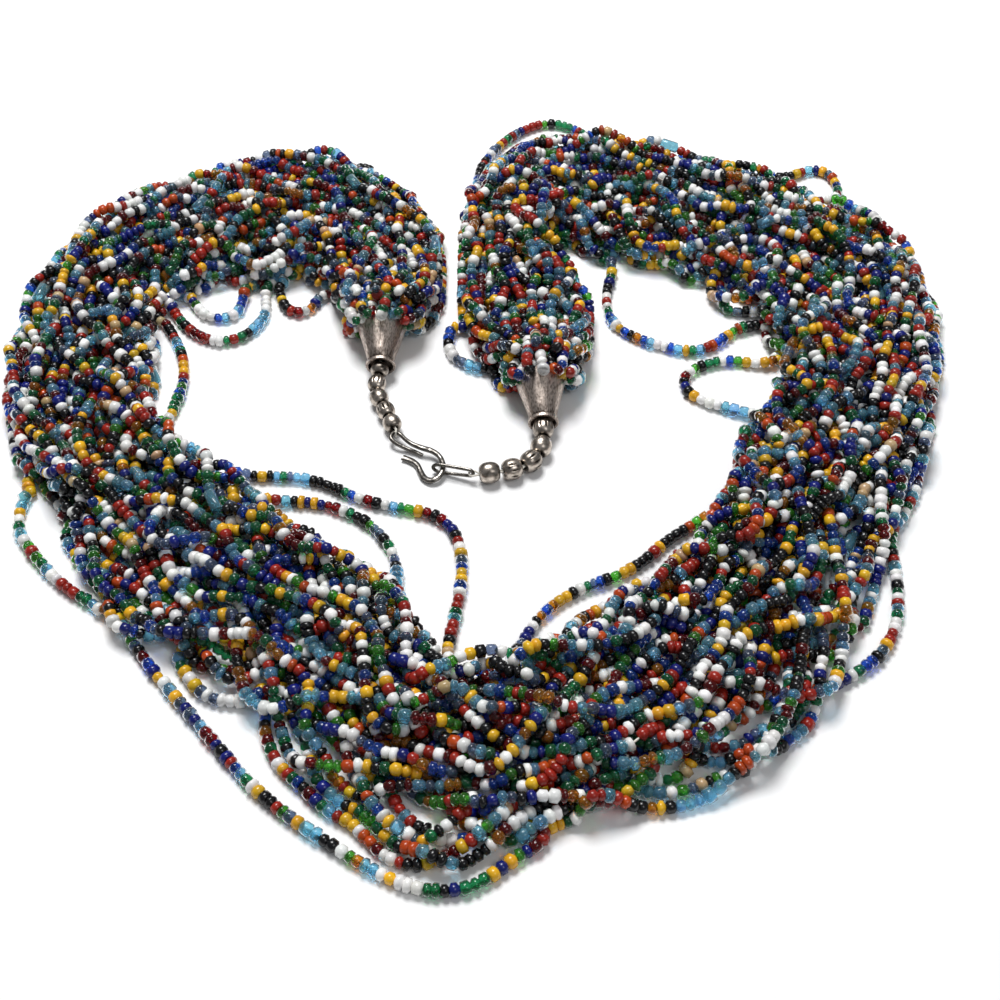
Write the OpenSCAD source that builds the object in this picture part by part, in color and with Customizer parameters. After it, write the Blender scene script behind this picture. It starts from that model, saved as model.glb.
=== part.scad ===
// Multi strand seed bead necklace, laid flat in a heart and fastened.
// Forty odd strands of glass beads lie together as one bundle, a few of them stray from
// it in loops, and both ends are gathered into silver cones, small beads and a clasp.
// The origin is on the table, in the middle of the ground that the necklace covers.
// X runs to the right, Y runs away from whoever wears it last, and Z runs up.

/* [Strands] */
// Diameter of one strand of seed beads
strand_d = 2.4; // [2:0.1:2.8]
// Height of the bundle against the heights in its table
bundle_fullness = 1; // [0.8:0.05:1.1]
// How high the twisted ridges stand on the bundle
ridge_h = 0.7; // [0:0.1:1]
// Number of ridges side by side over the top of the bundle
ridge_count = 4; // [3:1:5]

/* [End cones] */
// Length of an end cone from mouth to collar
cone_len = 10.5; // [9:0.5:12]
// Outer radius of the mouth
cone_mouth_r = 5.05; // [4.8:0.05:5.4]
// Outer radius of the collar at the narrow end
cone_collar_r = 3; // [2.8:0.1:3.2]
// Thickness of the sheet silver
cone_wall = 0.45; // [0.35:0.05:0.55]

/* [Silver beads] */
// Diameter of the silver beads on the side of the eye
eye_side_bead_d = 4.2; // [3.8:0.1:4.4]
// Diameter of the silver beads on the side of the hook
hook_side_bead_d = 3.7; // [3.4:0.1:3.9]
// Diameter of the hole through each silver bead
bead_bore_d = 1.2; // [1.1:0.05:1.3]
// Number of flutes round a fluted bead
flute_count = 10; // [6:1:14]

/* [Clasp] */
// Thickness of the eye's wire
eye_wire_d = 0.7; // [0.5:0.05:0.75]
// Thickness of the hook's wire against the sizes in its table
hook_weight = 1; // [0.8:0.05:1.1]

/* [Thread] */
// Diameter of the stringing thread
thread_d = 0.4; // [0.3:0.02:0.42]

/* [Hidden] */
$fn = 48;
X = [1, 0, 0];
Z = [0, 0, 1];

// Cuts across the bundle, from the hook's cone round the heart to the eye's cone.
// Columns: outer edge x, outer edge y, inner edge x, inner edge y, height of the top.
CUTS = [
    // left lobe, up from the cone and over
    [-10.5, 27.5, -28.5, 28, 10.5],
    [-8, 34, -31, 33, 13],
    [-7.5, 45, -32.5, 39, 13],
    [-8.5, 57, -35, 41.5, 12],
    [-14, 71, -38.5, 42, 10.5],
    [-27, 84, -42, 42, 9.5],
    [-44, 89.5, -46, 41, 9],
    [-60, 83, -53, 39, 9],
    [-74, 74, -60, 38, 9.5],
    [-86, 60, -66, 36, 10.5],
    [-93, 44, -67.5, 31, 11],
    [-96, 27, -66, 23, 10],
    [-96, 12, -65, 13, 9.5],
    [-92, -3, -63.5, 3, 10],
    [-86, -17, -60, -5.5, 10.5],
    // front, across to the right
    [-77, -31, -53.5, -10.5, 10],
    [-69, -42, -45.5, -17, 9.5],
    [-59, -51, -37.5, -24.5, 9],
    [-48, -60, -27.5, -31.5, 9],
    [-37, -71, -17, -38.5, 8.5],
    [-26, -82, -12, -48, 8.5],
    [-14, -91.5, -7.5, -58, 8.5],
    [-3, -95, -1, -61, 9],
    [8, -93.5, 7, -59.5, 9.5],
    [20, -89, 14, -52, 9],
    [34, -83, 22.5, -45.5, 9],
    [46, -75, 31.5, -40, 9],
    [56, -64, 39.5, -32, 9.5],
    [64, -49, 45, -23.5, 10],
    // right lobe, up and over
    [71, -31, 48.5, -12.5, 11],
    [84, -16, 52, -2.5, 9.5],
    [90, 2, 57.5, 6.5, 10],
    [95.5, 24, 60, 16.5, 9.5],
    [95, 47, 56.5, 26, 8.5],
    [86, 66.5, 50, 35, 8.5],
    [71, 80.5, 43, 41, 8.5],
    [55.5, 86, 35, 47.5, 9],
    [39.5, 91, 26.5, 50, 9],
    [23, 94, 18.5, 54, 9.5],
    [8, 90, 15, 56.5, 11],
    // down to the right cone
    [-0.5, 73, 13.5, 56, 14],
    [-4.5, 61, 14.5, 51.5, 14.5],
    [-5, 48, 18.5, 45, 13.5],
    [-5, 35.5, 23, 35, 12],
    [-3.5, 24, 24, 27, 12],
    [3, 15, 21.5, 17.5, 11.5],
    [6, 11, 18, 11.5, 10.5]
];

// Routes of the strands that stray from the bundle. They lie on the table.
LOOSE = [
    // 1 and 2, long and short loops inside the front left
    [[-46, -14.5], [-38, -14.5], [-31, -15.5], [-25, -19], [-18, -22], [-9, -24],
     [-4.5, -28], [-3, -35], [-3, -42], [-4, -49], [-5.5, -58.5]],
    [[-39.5, -21], [-33, -21], [-27, -22.5], [-21, -26], [-17.5, -30], [-15, -35],
     [-14.5, -40]],
    // 3 to 6, loops inside the left lobe, the last one along its side
    [[-65.5, 35], [-61, 28], [-55, 24], [-50, 25], [-46.5, 29], [-45, 34], [-46.5, 40]],
    [[-43, 41], [-42, 35.5], [-38.5, 32.5], [-35, 35], [-35, 40]],
    [[-61, 37], [-58, 32], [-53.5, 31], [-50.5, 34], [-51, 39]],
    [[-65.5, 29.5], [-61.5, 21], [-60, 15], [-60, 9], [-61.5, 0.5]],
    // 7, outside the left
    [[-85.5, -20], [-85.5, -27], [-82, -33], [-77, -39], [-72, -43.5], [-66, -47]],
    // 8, the long loop outside the front
    [[-63, -49.5], [-60, -54], [-56, -60], [-51, -66], [-46, -72], [-41, -78], [-36, -84],
     [-29, -90], [-22, -95], [-16, -99], [-10, -102], [-4, -103], [1, -101.5], [5, -98],
     [11, -94]],
    // 9 and 10, outside the right and outside the top right
    [[76, -27.5], [75.5, -35], [75, -44], [73, -52], [69, -58], [63, -62.5], [56.5, -65.5]],
    [[71.5, 81], [76, 84.5], [80, 83], [81.5, 78], [80.5, 74.5]],
    // 11 and 12, loops inside the right lobe
    [[29, 49], [27, 41.5], [26.5, 35], [27.5, 30], [31, 26], [37, 23], [42, 21], [47, 22],
     [54, 29]],
    [[59, 16.5], [51, 18.5], [45.5, 17], [41.5, 14.5], [40.5, 11], [42.5, 7.5], [47, 5],
     [54.5, 2.5]],
    // 13, behind the top of the right lobe
    [[-1.5, 75], [-1, 80], [0, 86], [4, 94], [9, 99.5], [15, 103], [21, 101], [26.5, 94.5]],
    // 14, beside the right cone
    [[-6, 28.5], [-7, 23], [-5, 18], [-1, 14], [4, 9.5]],
    // 15, along the inside of the front right
    [[7, -57.5], [9.5, -51], [13, -46.5], [18, -42.5], [24, -40], [29.5, -36.5], [34.5, -31],
     [42.5, -25]]
];

// Points on the thread from each cone's collar to the clasp, with a bead between each two.
LEFT_STOPS = [
    [-20.1, 15.1, 3.2], [-20.4, 12, 2.6], [-20.9, 8.1, 2.05], [-19.2, 4.6, 1.9],
    [-17.9, 0.9, 1.9], [-16.4, -2.5, 1.9]
];
RIGHT_STOPS = [
    [12.4, -1.2, 3.2], [12.4, -5.5, 2.6], [11.5, -9.8, 2.2], [8.4, -12.9, 2.15],
    [4.2, -14.1, 2.15], [-0.2, -14.8, 2.15]
];

// Where each cone's mouth and collar are, on its axis.
LEFT_MOUTH = [-20.2, 24.7, 5.1];
LEFT_COLLAR = [-20.1, 14.4, 3.05];
RIGHT_MOUTH = [12, 8.3, 5.1];
RIGHT_COLLAR = [12.45, -1.9, 3.05];

// The hook's wire from its tucked end round the base loop and out to the tip.
// Columns: x, y, z, width seen from above, thickness.
HOOK = [
    [-11, -8.8, 0.6, 0.7, 0.7],
    [-12.6, -8, 0.7, 0.8, 0.8],
    [-14.2, -7.2, 1, 0.8, 0.8],
    [-16.2, -6, 1.5, 0.8, 0.8],
    [-17.2, -4.8, 1.8, 0.8, 0.8],
    [-17, -3.7, 1.9, 0.8, 0.8],
    [-16.2, -3.3, 1.9, 0.8, 0.8],
    [-15.3, -4, 1.9, 0.8, 0.8],
    [-14.3, -5.3, 1.9, 0.8, 0.8],
    [-12.9, -6.6, 1.9, 0.9, 0.9],
    [-11, -7.5, 1.8, 1.1, 0.9],
    [-9.2, -8.1, 1.6, 1.1, 0.9],
    [-7.8, -9.3, 1.5, 1, 0.9],
    [-7, -11.3, 1.5, 1, 0.9],
    [-7, -13.3, 1.5, 1, 0.9],
    [-7.8, -14.8, 1.2, 1.1, 0.9],
    [-9.1, -15.3, 0.9, 1.2, 0.9],
    [-10.4, -14.5, 0.7, 1.2, 0.9],
    [-11.2, -12.8, 0.6, 1.1, 0.9],
    [-11.9, -11, 0.6, 1.1, 0.9],
    [-13.1, -9.8, 0.6, 1.2, 0.8],
    [-14.8, -8.9, 0.6, 1.3, 0.7]
];

// The eye stands on edge between these points. Columns: distance from the near end, height.
EYE_NEAR = [-1.1, -14.55];
EYE_FAR = [-9, -12.3];
EYE = [
    [0, 2], [0.3, 2.6], [0.9, 2.8], [3.8, 2.7], [6.6, 2.55], [7.6, 2.15],
    [8, 1.5], [7.6, 0.8], [6.6, 0.5], [3.8, 0.8], [0.9, 1.2], [0.3, 1.4]
];

strand_r = strand_d / 2;
thread_r = thread_d / 2;
thread_pair = thread_r + 0.08;      // half the distance between the two runs of the thread
bead_gap = 0.3;                     // free thread at each end of a silver bead
bead_end_r = bead_bore_d / 2 + 0.2; // radius of a silver bead's flat end
flute_r = 0.32;
flute_depth = 0.14;
collar_len = 0.9;                   // depth of the cup in the collar
cone_floor = 0.6;                   // thickness of the floor that the thread passes
cone_hole_r = 0.8;
plug_depth = 2.8;                   // how far the strands reach into a cone
plug_lead = 0.9;                    // how far they stay that narrow outside it
plug_gap = 0.4;                     // between the strands and the cone's edge
gather_gap = 0.8;                   // between the last beads and their gathered threads
gather_r = 2.2;                     // radius of the gathered threads
knot_r = 1.1;
knot_depth = 7.6;                   // from the cone's mouth to the middle of the knot
rib_power = 0.75;                   // below 1 makes the bundle's shoulders fuller
cut_steps = 2;                      // sections worked out for each cut in the table
top_points = 20;                    // points over the top of a section
under_points = 6;                   // points under it
ridge_twist = 11;                   // degrees that the ridges shift from section to section
tube_sides = 8;
wire_sides = 10;

function unit(v) = v / norm(v);

// A smooth curve through the rows of a table: row i, part t of the way to the next
function through(p, i, t) =
    let (n = len(p) - 1, a = p[max(i - 1, 0)], b = p[i], c = p[min(i + 1, n)],
         d = p[min(i + 2, n)])
    (2 * b + (c - a) * t + (2 * a - 5 * b + 4 * c - d) * t * t
     + (3 * b - a - 3 * c + d) * t * t * t) / 2;

// The same table with steps rows for each one, and its last row
function finer(p, steps) = concat(
    [for (i = [0:len(p) - 2], k = [0:steps - 1]) through(p, i, k / steps)],
    [p[len(p) - 1]]);

// A closed table made finer by wrapping its first rows round to the end
function finer_closed(p, steps) =
    let (n = len(p), q = [for (i = [-1:n + 1]) p[(i + n) % n]])
    [for (i = [1:n], k = [0:steps - 1]) through(q, i, k / steps)];

// Triangles between rings of n points each, with caps, or joined end to end if closed
function skin_faces(rings, n, closed) = concat(
    [for (r = [0:rings - (closed ? 1 : 2)], k = [0:n - 1], half = [0, 1])
        let (s = (r + 1) % rings, m = (k + 1) % n)
        half == 0 ? [r * n + k, r * n + m, s * n + m] : [r * n + k, s * n + m, s * n + k]],
    closed ? [] : [[for (k = [n - 1:-1:0]) k], [for (k = [0:n - 1]) (rings - 1) * n + k]]);

// A wire or strand along rows of x, y, z, width, thickness. ref is square to its bends.
module sweep(rows, ref, sides, closed = false) {
    n = len(rows);
    at = [for (r = rows) [r[0], r[1], r[2]]];
    points = [for (i = [0:n - 1])
        let (a = closed ? at[(i + n - 1) % n] : at[max(i - 1, 0)],
             b = closed ? at[(i + 1) % n] : at[min(i + 1, n - 1)],
             along = unit(b - a), side = unit(cross(along, ref)), up = cross(side, along))
        for (k = [0:sides - 1])
            let (t = 360 * (k + 0.5) / sides)
            at[i] + side * cos(t) * rows[i][3] / 2 + up * sin(t) * rows[i][4] / 2];
    polyhedron(points, skin_faces(n, sides, closed));
}

// Puts children, built along +Z, on the line from p towards q
module along_line(p, q) {
    d = q - p;
    translate(p) rotate([0, acos(d[2] / norm(d)), atan2(d[1], d[0])]) children();
}

// A section of the bundle: outer x and y, inner x and y, top, waist, base, roundness below
function section(row, twist) =
    let (top = row[4] * bundle_fullness, waist = row[5], base = max(row[6], 0),
         below = max(row[7], 0),
         mid = [row[0] + row[2], row[1] + row[3]] / 2,
         half = [row[0] - row[2], row[1] - row[3]] / 2,
         turns = concat([for (k = [0:top_points - 1]) 180 * k / top_points],
                        [for (k = [0:under_points - 1]) 180 * (1 + k / under_points)]))
    [for (t = turns)
        let (across = mid + half * cos(t), s = abs(sin(t)),
             ridge = ridge_h * s * (1 - below) * cos(2 * ridge_count * t + twist),
             z = t < 180 ? waist + (top - waist) * pow(s, rib_power + below / 4) + ridge
                         : waist - (waist - base) * pow(s, below))
        [across[0], across[1], max(z, base)]];

// A round section of the bundle inside a cone, depth mm in from its mouth. side is 1
// where the bundle's outer edge is to the right of the cone, and -1 to the left.
function plug(mouth, collar, depth, side) =
    let (c = mouth + unit(collar - mouth) * depth,
         r = cone_mouth_r - cone_wall - plug_gap - (cone_mouth_r - 2.2) * depth / cone_len)
    [c[0] + r * side, c[1], c[0] - r * side, c[1], c[2] + r, c[2], c[2] - r, 1];

function laid(cut) = concat(cut, [strand_r, 0, 0]);
function lifted(cut) = concat(cut, [3.5, 0, 0.3]);

// The bundle's sections in order, with round plugs in the cones at both ends
function bundle_rows() =
    let (n = len(CUTS),
         floor_rows = [for (i = [1:n - 2]) laid(CUTS[i])])
    finer(concat(
        [for (depth = [plug_depth, 0, -plug_lead]) plug(LEFT_MOUTH, LEFT_COLLAR, depth, 1)],
        [lifted(CUTS[0])], floor_rows, [lifted(CUTS[n - 1])],
        [for (depth = [-plug_lead, 0, plug_depth])
            plug(RIGHT_MOUTH, RIGHT_COLLAR, depth, -1)]),
        cut_steps);

module strand_bundle() {
    rows = bundle_rows();
    n = len(rows);
    color([0.25, 0.27, 0.33])
        polyhedron([for (i = [0:n - 1], p = section(rows[i], ridge_twist * i)) p],
                   skin_faces(n, top_points + under_points, false));
}

module loose_strand(number) {
    rows = [for (p = LOOSE[number - 1]) [p[0], p[1], strand_r, strand_d, strand_d]];
    color([0.5, 0.22, 0.18]) sweep(rows, Z, tube_sides);
}

module end_cone(mouth, collar) {
    cup = cone_len - collar_len;
    neck_r = cone_collar_r - 0.45;
    profile = [
        [cone_mouth_r, 0], [cone_mouth_r, 0.4], [neck_r + 0.2, cup - 0.5], [neck_r, cup - 0.2],
        [cone_collar_r, cup + 0.3], [cone_collar_r, cone_len],
        [cone_collar_r - 0.5, cone_len], [cone_collar_r - 0.6, cup],
        [cone_hole_r, cup], [cone_hole_r, cup - cone_floor],
        [neck_r - cone_wall, cup - cone_floor], [cone_mouth_r - cone_wall, 0]
    ];
    color([0.56, 0.52, 0.5]) along_line(mouth, collar) rotate_extrude() polygon(profile);
}

// A silver bead between two stops on the thread
module silver_bead(a, b, d, fluted) {
    length = norm(b - a) - 2 * bead_gap;
    edge = acos(bead_end_r / (d / 2));
    steps = 12;
    profile = concat(
        [for (k = [0:steps])
            let (t = edge * (2 * k / steps - 1))
            [d / 2 * cos(t), length / 2 * sin(t) / sin(edge)]],
        [[bead_bore_d / 2, length / 2], [bead_bore_d / 2, -length / 2]]);
    color([0.62, 0.58, 0.55]) along_line((a + b) / 2, b)
        difference() {
            rotate_extrude() polygon(profile);
            if (fluted)
                for (k = [0:flute_count - 1])
                    rotate([0, 0, 360 * k / flute_count])
                        translate([d / 2 + flute_r - flute_depth, 0, -d / 2])
                            cylinder(r = flute_r, h = d, $fn = 16);
        }
}

module silver_bead_left(number, fluted = false)
    silver_bead(LEFT_STOPS[number - 1], LEFT_STOPS[number], hook_side_bead_d, fluted);

module silver_bead_right(number, fluted = false)
    silver_bead(RIGHT_STOPS[number - 1], RIGHT_STOPS[number], eye_side_bead_d, fluted);

// The strands' own threads, gathered to a knot in the cone, and the doubled thread that
// runs from the knot through the beads and round the clasp. turn is its way round.
module thread(mouth, collar, stops, shift, turn, ref) {
    inward = unit(collar - mouth);
    knot = mouth + inward * knot_depth;
    start = mouth + inward * (plug_depth + gather_gap);
    out = [for (p = stops) p + shift];
    back = [for (k = [len(stops) - 1:-1:0]) stops[k] - shift];
    route = concat([knot + shift], out, turn, back, [knot - shift]);
    reach = norm(knot - start);
    color([0.9, 0.88, 0.83]) {
        along_line(start, knot) rotate_extrude() polygon([
            [0, 0], [gather_r, 0], [knot_r * 0.7, reach - knot_r], [knot_r, reach - knot_r / 2],
            [knot_r, reach + knot_r / 2], [knot_r * 0.6, reach + knot_r], [0, reach + knot_r]
        ]);
        sweep([for (p = route) [p[0], p[1], p[2], thread_d, thread_d]], ref, tube_sides);
    }
}

// Down through the hook's base loop
module thread_left()
    thread(LEFT_MOUTH, LEFT_COLLAR, LEFT_STOPS, Z * thread_pair,
           [[-16.2, -3.2, 2.7], [-16.25, -3.85, 2.5], [-16.3, -4.1, 1.9],
            [-16.25, -3.85, 1.3], [-16.2, -3.2, 1.1]], X);

// Sideways through the eye's near end
module thread_right() {
    ahead = unit(EYE_FAR - EYE_NEAR);
    aside = [ahead[1], -ahead[0]];
    turn = [for (s = [[0, -0.75], [0.5, -0.6], [0.85, 0], [0.5, 0.6], [0, 0.75]])
        let (p = EYE_NEAR + ahead * s[0] - aside * s[1]) [p[0], p[1], 2]];
    thread(RIGHT_MOUTH, RIGHT_COLLAR, RIGHT_STOPS, [aside[0], aside[1], 0] * thread_pair,
           turn, Z);
}

module clasp_hook()
    color([0.45, 0.43, 0.41])
        sweep([for (r = finer(HOOK, 2))
                  [r[0], r[1], r[2], r[3] * hook_weight, r[4] * hook_weight]],
              Z, wire_sides);

module clasp_eye() {
    ahead = unit(EYE_FAR - EYE_NEAR);
    color([0.45, 0.43, 0.41])
        sweep([for (r = finer_closed(EYE, 2))
                  [EYE_NEAR[0] + ahead[0] * r[0], EYE_NEAR[1] + ahead[1] * r[0], r[1],
                   eye_wire_d, eye_wire_d]],
              [ahead[1], -ahead[0], 0], wire_sides, closed = true);
}

strand_bundle();
loose_strand(1);  // loose_strand_1
loose_strand(2);  // loose_strand_2
loose_strand(3);  // loose_strand_3
loose_strand(4);  // loose_strand_4
loose_strand(5);  // loose_strand_5
loose_strand(6);  // loose_strand_6
loose_strand(7);  // loose_strand_7
loose_strand(8);  // loose_strand_8
loose_strand(9);  // loose_strand_9
loose_strand(10);  // loose_strand_10
loose_strand(11);  // loose_strand_11
loose_strand(12);  // loose_strand_12
loose_strand(13);  // loose_strand_13
loose_strand(14);  // loose_strand_14
loose_strand(15);  // loose_strand_15
end_cone(LEFT_MOUTH, LEFT_COLLAR);  // end_cone_left
end_cone(RIGHT_MOUTH, RIGHT_COLLAR);  // end_cone_right
silver_bead_left(1);  // silver_bead_left_1
silver_bead_left(2, fluted = true);  // silver_bead_left_2
silver_bead_left(3);  // silver_bead_left_3
silver_bead_left(4, fluted = true);  // silver_bead_left_4
silver_bead_left(5);  // silver_bead_left_5
silver_bead_right(1, fluted = true);  // silver_bead_right_1
silver_bead_right(2);  // silver_bead_right_2
silver_bead_right(3, fluted = true);  // silver_bead_right_3
silver_bead_right(4, fluted = true);  // silver_bead_right_4
silver_bead_right(5);  // silver_bead_right_5
thread_left();
thread_right();
clasp_hook();
clasp_eye();
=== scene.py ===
# %% [markdown]
# # A multi strand seed bead necklace
# The real thing is some forty threads of glass seed beads that lie together as one loose bundle.
# Both ends of the bundle are gathered into silver cones, and a short run of silver beads, a
# hand forged hook and a wire eye close it. Here it lies fastened on a table, in a heart.
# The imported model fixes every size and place, so the first step is to load it. The lesson
# then lays the strands, strings the beads on them, and finishes the silver.

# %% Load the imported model
import math
import time

import bpy
import numpy as np
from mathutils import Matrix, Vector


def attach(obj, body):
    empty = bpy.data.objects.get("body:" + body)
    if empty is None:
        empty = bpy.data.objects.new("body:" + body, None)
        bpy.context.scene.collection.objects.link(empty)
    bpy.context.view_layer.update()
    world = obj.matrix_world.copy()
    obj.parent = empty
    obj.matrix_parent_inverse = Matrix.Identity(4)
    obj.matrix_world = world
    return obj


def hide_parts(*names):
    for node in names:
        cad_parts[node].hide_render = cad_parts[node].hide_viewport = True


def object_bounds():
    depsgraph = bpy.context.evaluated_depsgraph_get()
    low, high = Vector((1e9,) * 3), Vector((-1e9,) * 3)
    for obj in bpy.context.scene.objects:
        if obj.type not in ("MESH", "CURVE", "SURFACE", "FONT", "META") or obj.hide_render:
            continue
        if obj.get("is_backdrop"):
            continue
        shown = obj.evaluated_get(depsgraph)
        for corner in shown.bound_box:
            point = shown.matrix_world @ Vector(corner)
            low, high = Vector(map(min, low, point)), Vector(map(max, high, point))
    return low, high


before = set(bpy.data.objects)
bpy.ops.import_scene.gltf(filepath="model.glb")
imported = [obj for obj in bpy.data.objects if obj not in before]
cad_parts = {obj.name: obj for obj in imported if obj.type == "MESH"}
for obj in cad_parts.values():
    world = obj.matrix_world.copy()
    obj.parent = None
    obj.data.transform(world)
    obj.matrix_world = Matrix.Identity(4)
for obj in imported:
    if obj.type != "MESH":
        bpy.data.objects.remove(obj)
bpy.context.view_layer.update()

MM = 0.001

# %% [markdown]
# ## The camera
# The necklace is seen from in front and well above, as someone standing at a table sees it.
# A camera could be aimed with a Track To constraint, but a place and one tilt are easier to
# read: 47 degrees below the horizon, and no turn to either side. A lens of 58.5 mm on a
# 36 mm sensor takes in about 34 degrees, so the near edge looks only a little larger.

# %% Camera
CAMERA_PLACE = (0.004, -0.229, 0.2246)
LOOKS_DOWN = 47
CAMERA_TILT = math.radians(90 - LOOKS_DOWN)
LENS = 58.5
SENSOR_WIDTH = 36

camera_data = bpy.data.cameras.new("table_camera")
camera_data.lens = LENS
camera_data.sensor_width = SENSOR_WIDTH
camera_data.clip_start = 0.01
camera = bpy.data.objects.new("table_camera", camera_data)
camera.location = CAMERA_PLACE
camera.rotation_euler = (CAMERA_TILT, 0, 0)
bpy.context.scene.collection.objects.link(camera)
bpy.context.scene.camera = camera
print("camera looks down", round(90 - math.degrees(CAMERA_TILT)), "degrees")

# %% [markdown]
# ## Materials from nodes
# Every finish below is a small graph of nodes round one Principled shader. Writing each
# link by hand hides what the graph does, so a short helper adds a node, fills its sockets
# and links what it is given. A number that is the same all over goes straight on a socket.

# %% Node helpers
def new_material(name):
    """A material with nodes, its tree and its Principled shader."""
    material = bpy.data.materials.new(name)
    material.use_nodes = True
    tree = material.node_tree
    return material, tree, tree.nodes["Principled BSDF"]


def add(tree, kind, _out=0, _set=None, **sockets):
    """Adds a node, sets or links its inputs by name (or _0, _1 by number), returns an output."""
    node = tree.nodes.new(kind)
    for key, value in (_set or {}).items():
        setattr(node, key, value)
    for key, value in sockets.items():
        socket = node.inputs[int(key[1:])] if key[1:].isdigit() else node.inputs[key]
        if isinstance(value, bpy.types.NodeSocket):
            tree.links.new(value, socket)
        else:
            socket.default_value = value
    return node.outputs[_out]


def ramp(tree, value, *stops):
    """A Color Ramp with stops of place and colour."""
    node = tree.nodes.new("ShaderNodeValToRGB")
    while len(node.color_ramp.elements) < len(stops):
        node.color_ramp.elements.new(0.5)
    for element, (place, colour) in zip(node.color_ramp.elements, stops):
        element.position = place
        element.color = (*colour, 1)
    tree.links.new(value, node.inputs["Fac"])
    return node.outputs["Color"]


print("node helpers:", new_material.__name__, add.__name__, ramp.__name__)

# %% [markdown]
# ## Noise that keeps its size
# No real surface has one even colour. A picture would need a map on every mesh, while noise
# works anywhere. It is taken in the object's own metres, so that its grain keeps its size
# on a cone and on a table alike.

# %% Noise
def object_place(tree):
    return add(tree, "ShaderNodeTexCoord", _out="Object")


def noise(tree, scale, detail=2.0, place=None):
    """Noise with about scale blotches to the metre."""
    return add(tree, "ShaderNodeTexNoise", Vector=place or object_place(tree), Scale=scale,
               Detail=detail)


print("blotches of noise at scale 900, mm:", round(1 / 900 / MM, 1))

# %% [markdown]
# ## The table
# The necklace lies on a white sheet. Paper or cloth could be modelled, but nothing of it
# shows here except its brightness, so one big square with a dull, faintly uneven white does.

# %% White table
FLOOR_SIZE = 4.0


def white_table():
    material, tree, shader = new_material("white_table")
    grain = noise(tree, 60, 4)
    tree.links.new(ramp(tree, grain, (0.3, (0.91, 0.91, 0.91)), (0.7, (0.93, 0.93, 0.93))),
                   shader.inputs["Base Color"])
    shader.inputs["Roughness"].default_value = 0.7
    shader.inputs["Specular IOR Level"].default_value = 0.2
    return material


half_floor = FLOOR_SIZE / 2
floor_mesh = bpy.data.meshes.new("table_top")
floor_mesh.from_pydata([(-half_floor, -half_floor, 0), (half_floor, -half_floor, 0),
                        (half_floor, half_floor, 0), (-half_floor, half_floor, 0)],
                       [], [(0, 1, 2, 3)])
floor = bpy.data.objects.new("table_top", floor_mesh)
floor_mesh.materials.append(white_table())
bpy.context.scene.collection.objects.link(floor)
floor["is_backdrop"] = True
print("table, m:", FLOOR_SIZE)

# %% [markdown]
# ## The light
# Soft daylight falls on the table. A sky picture would give it, but it would also put a
# picture in every bead. A big soft lamp from behind, a weaker one from the front and an
# even pale world give round shadows and small clean glints.

# %% Lamps and world
WORLD_COLOUR = (0.93, 0.95, 1.0, 1)
WORLD_STRENGTH = 0.21
TABLE_MIDDLE = (0, 0, 0)


def soft_lamp(name, place, size, watts):
    """A round lamp that is aimed at the middle of the table."""
    data = bpy.data.lights.new(name, "AREA")
    data.shape = "DISK"
    data.size = size
    data.energy = watts
    lamp = bpy.data.objects.new(name, data)
    lamp.location = place
    way = np.array(TABLE_MIDDLE, float) - np.array(place, float)
    lamp.rotation_euler = (math.atan2(math.hypot(way[0], way[1]), -way[2]), 0,
                           math.atan2(way[1], way[0]) - math.pi / 2)
    bpy.context.scene.collection.objects.link(lamp)
    return lamp


world = bpy.data.worlds.new("pale_room")
bpy.context.scene.world = world
world.use_nodes = True
world.node_tree.nodes["Background"].inputs["Color"].default_value = WORLD_COLOUR
world.node_tree.nodes["Background"].inputs["Strength"].default_value = WORLD_STRENGTH
lamps = [soft_lamp("window", (-0.1, 0.32, 0.74), 0.4, 7.2),
         soft_lamp("bounce", (0.35, -0.4, 0.7), 0.35, 1.1)]
bpy.context.scene.view_settings.view_transform = "Standard"
print("lamps, W:", {lamp.name: round(lamp.data.energy, 1) for lamp in lamps})

# %% [markdown]
# ## The ground that the bundle covers
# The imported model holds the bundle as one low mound. Its shape comes from a short table of
# cuts across it, from the hook's cone round the heart to the eye's cone. The strands could
# be led over the mound's own surface, but most of them lie inside it. So the same table
# guides them, and they fill the mound and go nowhere else. From here on the numbers are
# millimetres, which are easier to think in, and each mesh is turned to metres when it is made.

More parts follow.
